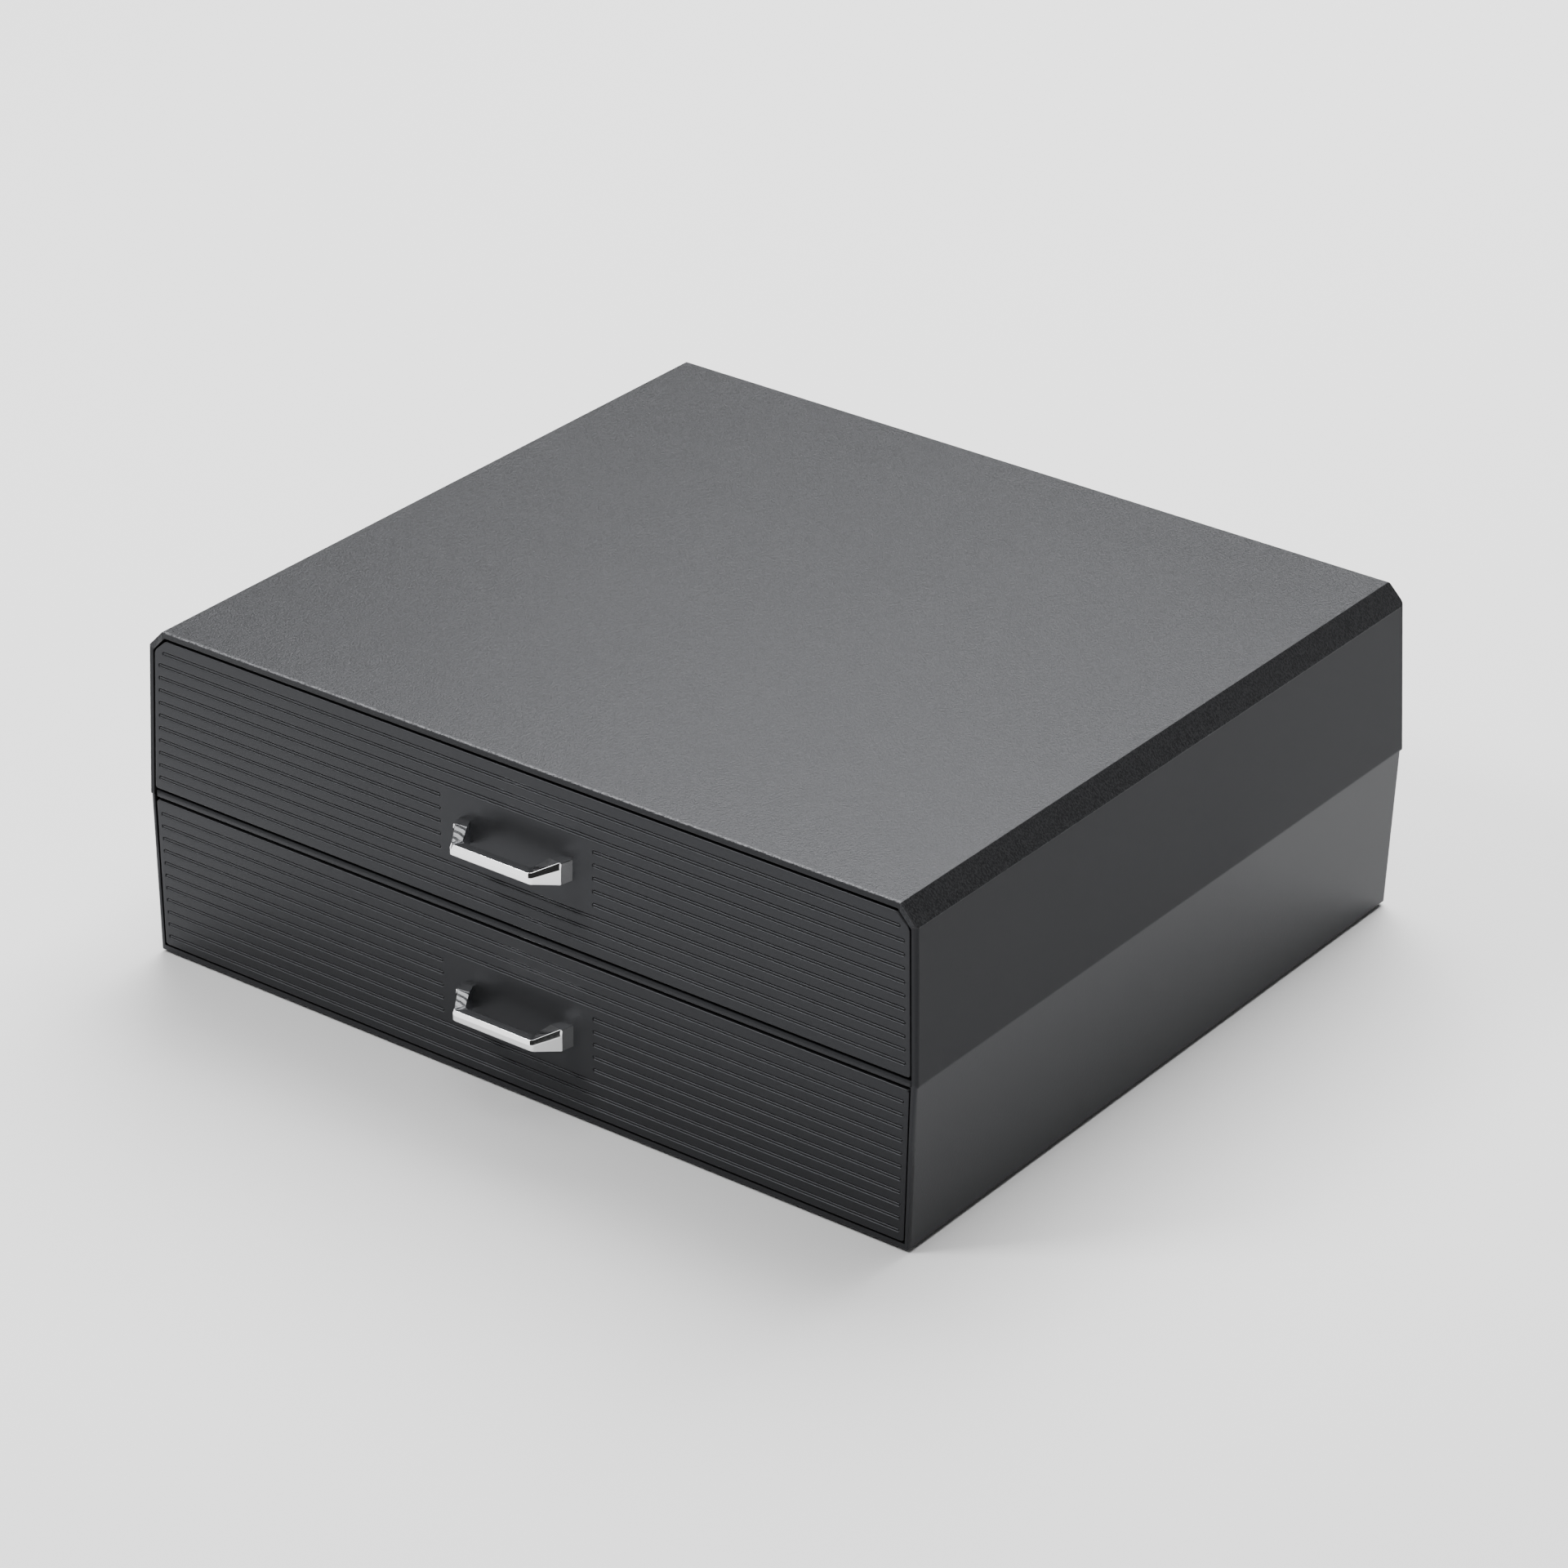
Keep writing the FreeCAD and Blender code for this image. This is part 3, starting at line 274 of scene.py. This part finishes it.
def case_plastic():
    """Dark moulded plastic: fine grain on the deck, coarse grain on the cut edges."""
    case = bpy.context.scene.capsule_case
    finish = Finish("grained_case_plastic")
    across = abs(finish.axis("X"))
    height = finish.axis("Z")
    half = CASE_HIGH.x - COVER_DRAFT
    cut = (across.ramp(half - case.chamfer_across - 0.2 * MM,
                       half - case.chamfer_across + 0.2 * MM)
           * height.ramp(DECK_Z - case.chamfer_down - 0.3 * MM,
                         DECK_Z - case.chamfer_down + 0.3 * MM))
    deck = height.ramp(DECK_Z - 0.4 * MM, DECK_Z - 0.1 * MM) * (1 - cut)
    fine = finish.noise(case.deck_grain, 3)
    coarse = finish.noise(case.cut_grain, 2)
    broad = finish.noise(0.08, 2)
    specks = (fine.ramp(0.32, 0.68) - 0.5) * deck * 0.8
    tone = 0.3 + 0.2 * broad + specks
    skin = finish.blend(tone, shade(case.color, 0.05), shade(case.color, 2.8))
    # painted highlight along the deck's front edge: a paler band, in specks
    behind_edge = finish.axis("Y").ramp(RIM_Y + 0.5 * MM, RIM_Y + 1.6 * MM)
    painted_edge_highlight = (1 - behind_edge) * deck * fine.ramp(0.4, 0.6)
    skin = finish.blend(painted_edge_highlight, skin, shade(case.color, 12))
    broken = finish.blend(coarse.ramp(0.35, 0.65), shade(case.color, 0.2),
                          shade(case.color, 1.4))
    color = finish.blend(cut, skin, broken)
    # the cover's side walls are duller than the deck and the tub
    wall = height.ramp(PARTING_Z, PARTING_Z + 1 * MM) * (1 - deck) * (1 - cut)
    rough = (case.roughness + (broad - 0.5) * 0.06 + (fine - 0.5) * deck * 0.3
             + wall * 0.26)
    grain = deck * 0.8 + 0.2
    fine_bump = finish.relief(fine * grain, 0.14 * MM)
    normal = finish.relief(coarse * cut, 0.22 * MM, fine_bump)
    return finish.set(Base_Color=color, Roughness=rough, Normal=normal,
                      Specular_IOR_Level=0.25, Specular_Tint=(0.88, 0.91, 1, 1))


def front_plastic():
    """The fronts' plastic, a shade finer than the case's."""
    front = bpy.context.scene.capsule_front
    finish = Finish("satin_front_plastic")
    fine = finish.noise(0.3 * MM, 3)
    broad = finish.noise(0.06, 2)
    tone = 0.4 + 0.3 * broad + fine * 0.3
    plain = finish.blend(tone, shade(front.color, 0.85), shade(front.color, 1.15))
    # painted highlight: bead crowns and the grooves' lower rims, which face up, are painted
    # paler
    upward = finish.axis("Z", finish.facing)
    painted_highlight = upward.ramp(0.35, 0.75) * (1 - upward.ramp(0.93, 0.98))
    color = finish.blend(painted_highlight, plain, shade(front.color, front.crown_highlight))
    rough = 0.36 + (broad - 0.5) * 0.06 + (fine - 0.5) * 0.04
    normal = finish.relief(fine, 0.02 * MM)
    return finish.set(Base_Color=color, Roughness=rough, Normal=normal,
                      Specular_IOR_Level=0.25, Specular_Tint=(0.88, 0.91, 1, 1))


def tray_plastic():
    """Smooth black plastic inside, with faint flow marks."""
    finish = Finish("smooth_tray_plastic")
    flow = finish.noise(0.03, 4, (0.3, 1, 1))
    fine = finish.noise(0.5 * MM, 2)
    color = finish.blend(flow, (0.018, 0.018, 0.019), (0.032, 0.032, 0.033))
    rough = 0.36 + flow * 0.12 + fine * 0.05
    return finish.set(Base_Color=color, Roughness=rough,
                      Normal=finish.relief(fine, 0.012 * MM))


def chrome():
    """Bright plating with a faint ripple of the moulding under it."""
    handle = bpy.context.scene.capsule_handle
    finish = Finish("bright_plating")
    ripple = finish.noise(6 * MM, 1)
    haze = finish.noise(1.2 * MM, 3)
    color = finish.blend(haze, shade(handle.color, 0.985), shade(handle.color, 1.0))
    rough = 0.035 + haze * 0.03
    return finish.set(Base_Color=color, Roughness=rough, Metallic=1.0,
                      Normal=finish.relief(ripple, 0.006 * MM))


def rubber():
    """Matte rubber of the feet, dusty in its pores."""
    finish = Finish("foot_rubber")
    pores = finish.noise(0.4 * MM, 3)
    dust = finish.noise(5 * MM, 3)
    color = finish.blend(dust, (0.016, 0.016, 0.016), (0.035, 0.034, 0.033))
    return finish.set(Base_Color=color, Roughness=0.75 + dust * 0.15,
                      Normal=finish.relief(pores, 0.03 * MM))


def screw_steel():
    """Zinc-plated steel with fine turning marks and dulled patches."""
    finish = Finish("zinc_plated_steel")
    patches = finish.noise(1.5 * MM, 3)
    turning = finish.noise(0.12 * MM, 2, (1, 0.2, 1))
    color = finish.blend(patches, (0.34, 0.34, 0.35), (0.52, 0.52, 0.53))
    rough = 0.28 + patches * 0.18 + turning * 0.06
    return finish.set(Base_Color=color, Roughness=rough, Metallic=1.0,
                      Normal=finish.relief(turning, 0.01 * MM))


FINISHES = {"case_plastic": case_plastic, "front_plastic": front_plastic,
            "tray_plastic": tray_plastic, "chrome": chrome, "rubber": rubber,
            "screw_steel": screw_steel}
MADE = {}


def finish_named(slot):
    """The material of a slot, made when it is first asked for."""
    if slot not in MADE:
        MADE[slot] = FINISHES[slot]()
    return MADE[slot]


def node_mesh(name):
    """A copy of a node's mesh with its corners joined and its flats whole."""
    bm = bmesh.new()
    bm.from_mesh(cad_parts[name].data)
    bmesh.ops.remove_doubles(bm, verts=bm.verts, dist=JOINED)
    bmesh.ops.dissolve_limit(bm, angle_limit=math.radians(0.3), verts=bm.verts,
                             edges=bm.edges, use_dissolve_boundaries=False,
                             delimit=set())
    return bm


def soften(bm, width, wanted, segments, sharper_than):
    """Rounds the edges that pass a test and are sharper than so many degrees."""
    limit = math.radians(sharper_than)
    edges = [edge for edge in bm.edges
             if len(edge.link_faces) == 2 and edge.calc_face_angle() > limit
             and wanted(edge)]
    bmesh.ops.bevel(bm, geom=edges, offset=width, offset_type="OFFSET",
                    segments=segments, profile=0.5, affect="EDGES",
                    clamp_overlap=True, material=-1)


def settle(bm, name, body, slot, node):
    """Makes the mesh a piece on its body, in its finish, standing for a node."""
    mesh = bpy.data.meshes.new(name)
    bm.to_mesh(mesh)
    bm.free()
    mesh.materials.append(finish_named(slot))
    mesh.polygons.foreach_set("use_smooth", [True] * len(mesh.polygons))
    mesh.set_sharp_from_angle(angle=math.radians(40))
    piece = bpy.data.objects.new(name, mesh)
    bpy.context.scene.collection.objects.link(piece)
    weighted = piece.modifiers.new("flats", "WEIGHTED_NORMAL")
    weighted.keep_sharp = True
    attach(piece, body)
    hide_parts(node)


def middle(edge):
    return (edge.verts[0].co + edge.verts[1].co) / 2


def make_block(bm, low, high, edge):
    """A solid block between two corners, with softened edges."""
    low, high = Vector(low), Vector(high)
    made = bmesh.ops.create_cube(bm, size=1)["verts"]
    bmesh.ops.scale(bm, vec=high - low, verts=made)
    bmesh.ops.translate(bm, vec=(low + high) / 2, verts=made)
    edges = list({each for vertex in made for each in vertex.link_edges})
    bmesh.ops.bevel(bm, geom=edges, offset=edge, segments=1, profile=0.5,
                    affect="EDGES", clamp_overlap=True, material=-1)


def front_turn(drawer):
    """From a front's own upright frame, foot at zero, to its place."""
    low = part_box(f"{drawer}_drawer_front")[0]
    if drawer == "upper":
        return Matrix.Translation((0, low.y, low.z))
    foot_y = RIM_Y + math.tan(TUB_LEAN) * (PARTING_Z - PAD_HEIGHT - LOWER_FRONT_FOOT)
    return Matrix.Translation((0, foot_y, low.z)) @ Matrix.Rotation(TUB_LEAN, 4, "X")


def groove_runs(drawer):
    """Each groove as its left end, right end and level."""
    front = bpy.context.scene.capsule_front
    (low_half, _), (high_half, high) = FRONT_CORNERS[drawer][:2]
    top_row = front.grooves - 1
    for row in range(front.grooves):
        level = front.first + front.pitch * row
        share = level / (high * MM)
        end = (low_half + (high_half - low_half) * share) * MM - front.inset
        if drawer == "upper" and row == top_row:
            end = TOP_GROOVE_END
        if abs(row - top_row // 2) <= SHORT_ROWS:
            yield -end, -front.patch, level
            yield front.patch, end, level
        else:
            yield -end, end, level


def groove_section():
    """From the rounded rim down the wall and up over the bead, as half height,
    depth and how much further than the groove's own ends it reaches."""
    front = bpy.context.scene.capsule_front
    depth, bead = front.depth, front.bead
    wall = front.radius - front.rim
    crest = depth - front.bead_height
    rim, crown = [], []
    for step in range(ROUND_STEPS):
        turn = math.radians(RIM_STEP * step)
        rim.append((wall + front.rim * (1 - math.sin(turn)),
                    front.rim * (1 - math.cos(turn)), 0))
        turn = math.radians(CROWN_STEP * step)
        crown.append((bead * math.cos(turn), crest + bead * (1 - math.sin(turn)),
                      BEAD_REACH))
    floor = [(wall, depth - FLOOR_BEVEL_UP, 0), (wall - FLOOR_BEVEL_IN, depth, 0),
             (bead + BEAD_FLARE, depth, BEAD_REACH)]
    return rim + floor + crown


def cut_groove(bm, left, right, level):
    """A rounded groove with a bead in it; gives the edges of its rim."""
    front = bpy.context.scene.capsule_front
    centre = Vector(((left + right) / 2, 0, level))
    half = (right - left) / 2 - front.radius
    # a flat side of the ring, not a corner, lies at the groove's half height
    widen = 1 / math.cos(math.pi / GROOVE_SIDES)
    upright = (Matrix.Rotation(math.pi / 2, 4, "X")
               @ Matrix.Rotation(math.pi / GROOVE_SIDES, 4, "Z"))
    section = groove_section()
    ring = bmesh.ops.create_circle(bm, cap_ends=False, segments=GROOVE_SIDES,
                                   radius=section[0][0] * widen,
                                   matrix=Matrix.Translation(centre) @ upright)["verts"]
    for vertex in ring:
        vertex.co.x += math.copysign(half, vertex.co.x - centre.x)
    rim = list({edge for vertex in ring for edge in vertex.link_edges})
    edges, old_reach = rim, half
    for radius, depth, further in section[1:]:
        made = bmesh.ops.extrude_edge_only(bm, edges=edges)["geom"]
        edges = [item for item in made if isinstance(item, bmesh.types.BMEdge)]
        reach = half + further
        for vertex in (item for item in made if isinstance(item, bmesh.types.BMVert)):
            side = math.copysign(1, vertex.co.x - centre.x)
            out = vertex.co - centre - Vector((side * old_reach, 0, 0))
            out.y = 0
            vertex.co = (centre + Vector((side * reach, depth, 0))
                         + out.normalized() * radius * widen)
        old_reach = reach
    bmesh.ops.contextual_create(bm, geom=edges)
    return rim


def make_panel(drawer):
    """The plate of a front with its skirt, its face still without grooves."""
    front = bpy.context.scene.capsule_front
    right = FRONT_CORNERS[drawer]
    corners = right + [(-x, z) for x, z in reversed(right)]
    bm = bmesh.new()
    outline = [bm.verts.new((x * MM, 0, z * MM)) for x, z in corners]
    bmesh.ops.contextual_create(bm, geom=outline)
    bmesh.ops.bevel(bm, geom=outline, offset=front.corner, segments=4, profile=0.5,
                    affect="VERTICES", material=-1, clamp_overlap=True)
    back = bmesh.ops.extrude_face_region(bm, geom=list(bm.faces))["geom"]
    total = SEAT_Y - RIM_Y
    moved = [item for item in back if isinstance(item, bmesh.types.BMVert)]
    bmesh.ops.translate(bm, vec=(0, total, 0), verts=moved)
    bmesh.ops.recalc_face_normals(bm, faces=bm.faces)
    rear = next(face for face in bm.faces if face.normal.y > 0.9)
    bmesh.ops.inset_region(bm, faces=[rear], thickness=front.skirt, depth=0,
                           use_even_offset=True)
    bmesh.ops.translate(bm, vec=(0, front.thick - total, 0), verts=rear.verts)
    soften(bm, front.edge, lambda edge: max(v.co.y for v in edge.verts) < FLUSH, 3, 25)
    return bm


def make_front(drawer):
    """The panel with its skirt, rounded grooves and the blocks behind it."""
    front = bpy.context.scene.capsule_front
    bm = make_panel(drawer)
    face = min((each for each in bm.faces if each.normal.y < -0.9),
               key=lambda each: each.calc_center_median().y)
    rims = list(face.edges)
    bmesh.ops.delete(bm, geom=[face], context="FACES_ONLY")
    for left, right, level in groove_runs(drawer):
        rims += cut_groove(bm, left, right, level)
    bmesh.ops.triangle_fill(bm, use_beauty=True, edges=rims, normal=(0, -1, 0))
    bmesh.ops.recalc_face_normals(bm, faces=bm.faces)

    middle_z = bpy.context.scene.capsule_handle.level
    blocks = ((-SCREW_BLOCK_PLACE, SCREW_BLOCK_HALF), (0, HANDLE_BLOCK_HALF),
              (SCREW_BLOCK_PLACE, SCREW_BLOCK_HALF))
    for x, half in blocks:
        make_block(bm, (x - half, front.thick - BLOCK_BITE, middle_z - BLOCK_HALF_HEIGHT),
                   (x + half, SEAT_Y - RIM_Y, middle_z + BLOCK_HALF_HEIGHT), BLOCK_EDGE)
    bmesh.ops.transform(bm, matrix=front_turn(drawer), verts=bm.verts)
    for vertex in bm.verts:
        if vertex.co.y > SEAT_Y - SEAT_BAND:
            vertex.co.y = SEAT_Y
    settle(bm, f"{drawer}_ribbed_front", f"{drawer}_drawer", "front_plastic",
           f"{drawer}_drawer_front")


def handle_ring(side, inner, outer, half, facet_in, facet_down):
    """Corners of the upright section between an inner and an outer edge."""
    inner = Vector((inner[0] * side, -inner[1], 0)) * MM
    outer = Vector((outer[0] * side, -outer[1], 0)) * MM
    out = (outer - inner).normalized()
    up = Vector((0, 0, MM))
    under_bevel = 0.4
    return [inner - up * half, outer - out * (under_bevel * MM) - up * half,
            outer - up * (half - under_bevel), outer + up * (half - facet_down),
            outer - out * facet_in * MM + up * half, inner + up * half]


def handle_rings():
    """Sections from the foot of the right post over the bar to the left foot.

    Each station has its inner and its outer edge as half width and reach, half its
    height, and how far its facet goes in and down, all in millimetres.
    """
    reach = bpy.context.scene.capsule_handle.reach / MM
    foot = (19.9, 0), (24.8, 0), 4.4, 0.25, 0.25
    root = (18.1, 4.0), (23.7, 4.9), 4.4, 0.25, 0.25
    arm = (17.97, 4.25), (23.53, 5.15), 4.34, 0.7, 2.56
    bar = (15.0, 10.35), (17.65, reach), 2.15, 0.7, 1.8
    stations = [foot, root, arm, bar]
    right = [handle_ring(1, *station) for station in stations]
    left = [handle_ring(-1, *station) for station in reversed(stations)]
    return right + left


def at_elbow(edge):
    """Whether an edge stands across the handle where the bar meets an arm."""
    across = abs(edge.verts[0].co.x - edge.verts[1].co.x)
    return across < 3 * MM and max(v.co.y for v in edge.verts) < -10 * MM


def make_handle(drawer):
    """The bright bridge handle, drawn out from foot to foot and softened."""
    handle = bpy.context.scene.capsule_handle
    bm = bmesh.new()
    rings = handle_rings()
    start = [bm.verts.new(corner) for corner in rings[0]]
    face = bmesh.ops.contextual_create(bm, geom=start)["faces"][0]
    for here, there in zip(rings, rings[1:]):
        made = bmesh.ops.extrude_face_region(bm, geom=[face])["geom"]
        if here != rings[0]:
            bmesh.ops.delete(bm, geom=[face], context="FACES_ONLY")
        face = next(item for item in made if isinstance(item, bmesh.types.BMFace))
        for vertex in face.verts:
            nearest = min(range(len(here)), key=lambda i: (here[i] - vertex.co).length)
            vertex.co = there[nearest]
    bmesh.ops.recalc_face_normals(bm, faces=bm.faces)
    soften(bm, handle.elbow, at_elbow, 4, 12)
    soften(bm, handle.edge, lambda edge: not all(abs(v.co.y) < FLUSH for v in edge.verts),
           3, 15)
    place = front_turn(drawer) @ Matrix.Translation((0, 0, handle.level))
    bmesh.ops.transform(bm, matrix=place, verts=bm.verts)
    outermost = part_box(f"{drawer}_handle")[0].y
    for vertex in bm.verts:
        vertex.co.y = max(vertex.co.y, outermost)
    settle(bm, f"{drawer}_bridge_handle", f"{drawer}_drawer", "chrome", f"{drawer}_handle")


class CAPSULE_OT_shells(bpy.types.Operator):
    """Finishes the cover and the tub"""
    bl_idname = "capsule.shells"
    bl_label = "Shells"

    def execute(self, context):
        width = context.scene.capsule_case.edge
        for node in ("upper_shell", "lower_shell"):
            bm = node_mesh(node)
            soften(bm, width, self.is_outside, 3, 20)
            settle(bm, f"{node}_moulding", "case", "case_plastic", node)
        return {"FINISHED"}

    @staticmethod
    def is_outside(edge):
        """Leaves out the short edges and those of the bosses and ribs inside."""
        return edge.calc_length() > 3 * MM and abs(middle(edge).x) > 150 * MM


class CAPSULE_OT_shelf(bpy.types.Operator):
    """Finishes the shelf between the drawers"""
    bl_idname = "capsule.shelf"
    bl_label = "Shelf"

    def execute(self, context):
        bm = node_mesh("divider_shelf")
        front = min(vertex.co.y for vertex in bm.verts)
        for depth in (LIP_DEPTH, LIP_DEPTH + LIP_SLOPE):
            bmesh.ops.bisect_plane(bm, geom=bm.verts[:] + bm.edges[:] + bm.faces[:],
                                   dist=FLUSH, plane_co=(0, front + depth, 0),
                                   plane_no=(0, 1, 0))
        near = 10 * FLUSH
        lip = [vertex for vertex in bm.verts if vertex.co.y < front + LIP_DEPTH + near]
        bmesh.ops.translate(bm, vec=(0, 0, -LIP_DROP), verts=lip)
        soften(bm, 0.15 * MM, lambda edge: middle(edge).y < front + near, 2, 40)
        settle(bm, "shelf_moulding", "case", "case_plastic", "divider_shelf")
        return {"FINISHED"}


class CAPSULE_OT_fronts(bpy.types.Operator):
    """Makes the two ribbed fronts"""
    bl_idname = "capsule.fronts"
    bl_label = "Fronts"

    def execute(self, context):
        for drawer in DRAWERS:
            make_front(drawer)
        return {"FINISHED"}


class CAPSULE_OT_handles(bpy.types.Operator):
    """Makes the two bridge handles"""
    bl_idname = "capsule.handles"
    bl_label = "Handles"

    def execute(self, context):
        for drawer in DRAWERS:
            make_handle(drawer)
        return {"FINISHED"}


class CAPSULE_OT_trays(bpy.types.Operator):
    """Finishes the trays and their lane dividers"""
    bl_idname = "capsule.trays"
    bl_label = "Trays"

    def execute(self, context):
        for drawer in DRAWERS:
            dividers = [f"{drawer}_divider_{number}" for number in (1, 2, 3, 4)]
            for node in [f"{drawer}_drawer_tray", *dividers]:
                bm = node_mesh(node)
                soften(bm, 0.25 * MM, lambda edge: edge.calc_length() > 8 * MM, 2, 40)
                settle(bm, f"{node}_moulding", f"{drawer}_drawer", "tray_plastic", node)
        return {"FINISHED"}


class CAPSULE_OT_small_parts(bpy.types.Operator):
    """Gives the feet and the screws their finish"""
    bl_idname = "capsule.small_parts"
    bl_label = "Feet and screws"

    def execute(self, context):
        for node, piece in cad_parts.items():
            if node.startswith("foot_"):
                slot = "rubber"
            elif node.endswith("_screws"):
                slot = "screw_steel"
            else:
                continue
            piece.data.materials.clear()
            piece.data.materials.append(finish_named(slot))
        return {"FINISHED"}


def outward(turn, rise):
    """Direction away from the cabinet: 0 is in front of it, a quarter turn its right."""
    return Vector((math.sin(turn) * math.cos(rise), -math.cos(turn) * math.cos(rise),
                   math.sin(rise)))


class CAPSULE_OT_stage(bpy.types.Operator):
    """Makes the pale floor, the lights and the camera"""
    bl_idname = "capsule.stage"
    bl_label = "Stage"

    def execute(self, context):
        self.lay_floor()
        self.hang_lights()
        self.set_camera()
        return {"FINISHED"}

    def lay_floor(self):
        stage = bpy.context.scene.capsule_stage
        pale = Finish("pale_floor").set(Base_Color=(*stage.floor, 1), Roughness=0.85)
        bm = bmesh.new()
        bmesh.ops.create_grid(bm, x_segments=1, y_segments=1, size=12)
        mesh = bpy.data.meshes.new("floor")
        bm.to_mesh(mesh)
        bm.free()
        mesh.materials.append(pale)
        floor = bpy.data.objects.new("floor", mesh)
        bpy.context.scene.collection.objects.link(floor)

    def hang_lights(self):
        world = bpy.data.worlds.new("room")
        world.use_nodes = True
        room = world.node_tree.nodes["Background"]
        room.inputs["Color"].default_value = (1, 1, 1, 1)
        room.inputs["Strength"].default_value = bpy.context.scene.capsule_stage.sky
        bpy.context.scene.world = world
        # degrees round and above the cabinet, distance and size in metres, watts, target
        self.softbox("back_box", 200, 56, 2.6, (2.2, 2.2), 162)
        self.softbox("overhead_box", 0, 90, 3.0, (3.0, 3.0), 75)
        self.softbox("front_box", 325, 5, 2.0, (1.2, 1.2), 10, (0, -0.15, 0.07))
        self.softbox("edge_box", 318, 58, 1.9, (0.5, 0.5), 29, (-0.28, -0.45, 0))
        self.softbox("side_box", 144, 10, 2.2, (1.5, 1.5), 6, (0.17, 0, 0.07))

    def softbox(self, name, azimuth, elevation, distance, size, power,
                target=(0, 0, 0.07)):
        """A rectangular soft light that faces its target on the cabinet."""
        light = bpy.data.lights.new(name, "AREA")
        light.shape = "RECTANGLE"
        light.size, light.size_y = size
        light.energy = power
        lamp = bpy.data.objects.new(name, light)
        back = outward(math.radians(azimuth), math.radians(elevation))
        lamp.location = Vector(target) + back * distance
        lamp.rotation_mode = "QUATERNION"
        lamp.rotation_quaternion = back.to_track_quat("Z", "Y")
        bpy.context.scene.collection.objects.link(lamp)

    def set_camera(self):
        stage = bpy.context.scene.capsule_stage
        back = outward(stage.azimuth, stage.elevation)
        right = (-back).cross(Vector((0, 0, 1))).normalized()
        up = right.cross(-back)
        tilted_right = right * math.cos(stage.roll) + up * math.sin(stage.roll)
        tilted_up = up * math.cos(stage.roll) - right * math.sin(stage.roll)
        lens = bpy.data.cameras.new("camera")
        lens.lens = stage.lens
        lens.sensor_width = 36
        lens.clip_start, lens.clip_end = 0.05, 60
        camera = bpy.data.objects.new("camera", lens)
        axes = Matrix((tilted_right, tilted_up, back)).transposed().to_4x4()
        eye = Vector(stage.target) + back * stage.distance
        camera.matrix_world = Matrix.Translation(eye) @ axes
        bpy.context.scene.collection.objects.link(camera)
        bpy.context.scene.camera = camera


class CAPSULE_PT_panel(bpy.types.Panel):
    """Lists the cabinet's pieces and their sizes"""
    bl_idname = "CAPSULE_PT_panel"
    bl_label = "Capsule drawer cabinet"
    bl_space_type = "VIEW_3D"
    bl_region_type = "UI"
    bl_category = "Capsules"

    def draw(self, context):
        layout = self.layout
        for operator in OPERATORS:
            layout.operator(operator.bl_idname)
        for group in SETTINGS:
            box = layout.box()
            settings = getattr(context.scene, group)
            for name in SETTINGS[group].__annotations__:
                box.prop(settings, name)


SETTINGS = {"capsule_case": CaseSettings, "capsule_front": FrontSettings,
            "capsule_handle": HandleSettings, "capsule_stage": StageSettings}
OPERATORS = (CAPSULE_OT_shells, CAPSULE_OT_shelf, CAPSULE_OT_fronts, CAPSULE_OT_handles,
             CAPSULE_OT_trays, CAPSULE_OT_small_parts, CAPSULE_OT_stage)
CLASSES = (*SETTINGS.values(), *OPERATORS, CAPSULE_PT_panel)


def register():
    for each in CLASSES:
        bpy.utils.register_class(each)
    for name, group in SETTINGS.items():
        setattr(bpy.types.Scene, name, PointerProperty(type=group))


def unregister():
    for name in SETTINGS:
        delattr(bpy.types.Scene, name)
    for each in reversed(CLASSES):
        bpy.utils.unregister_class(each)


def main():
    register()
    for operator in OPERATORS:
        family, name = operator.bl_idname.split(".")
        getattr(getattr(bpy.ops, family), name)()


if __name__ == "__main__":
    main()
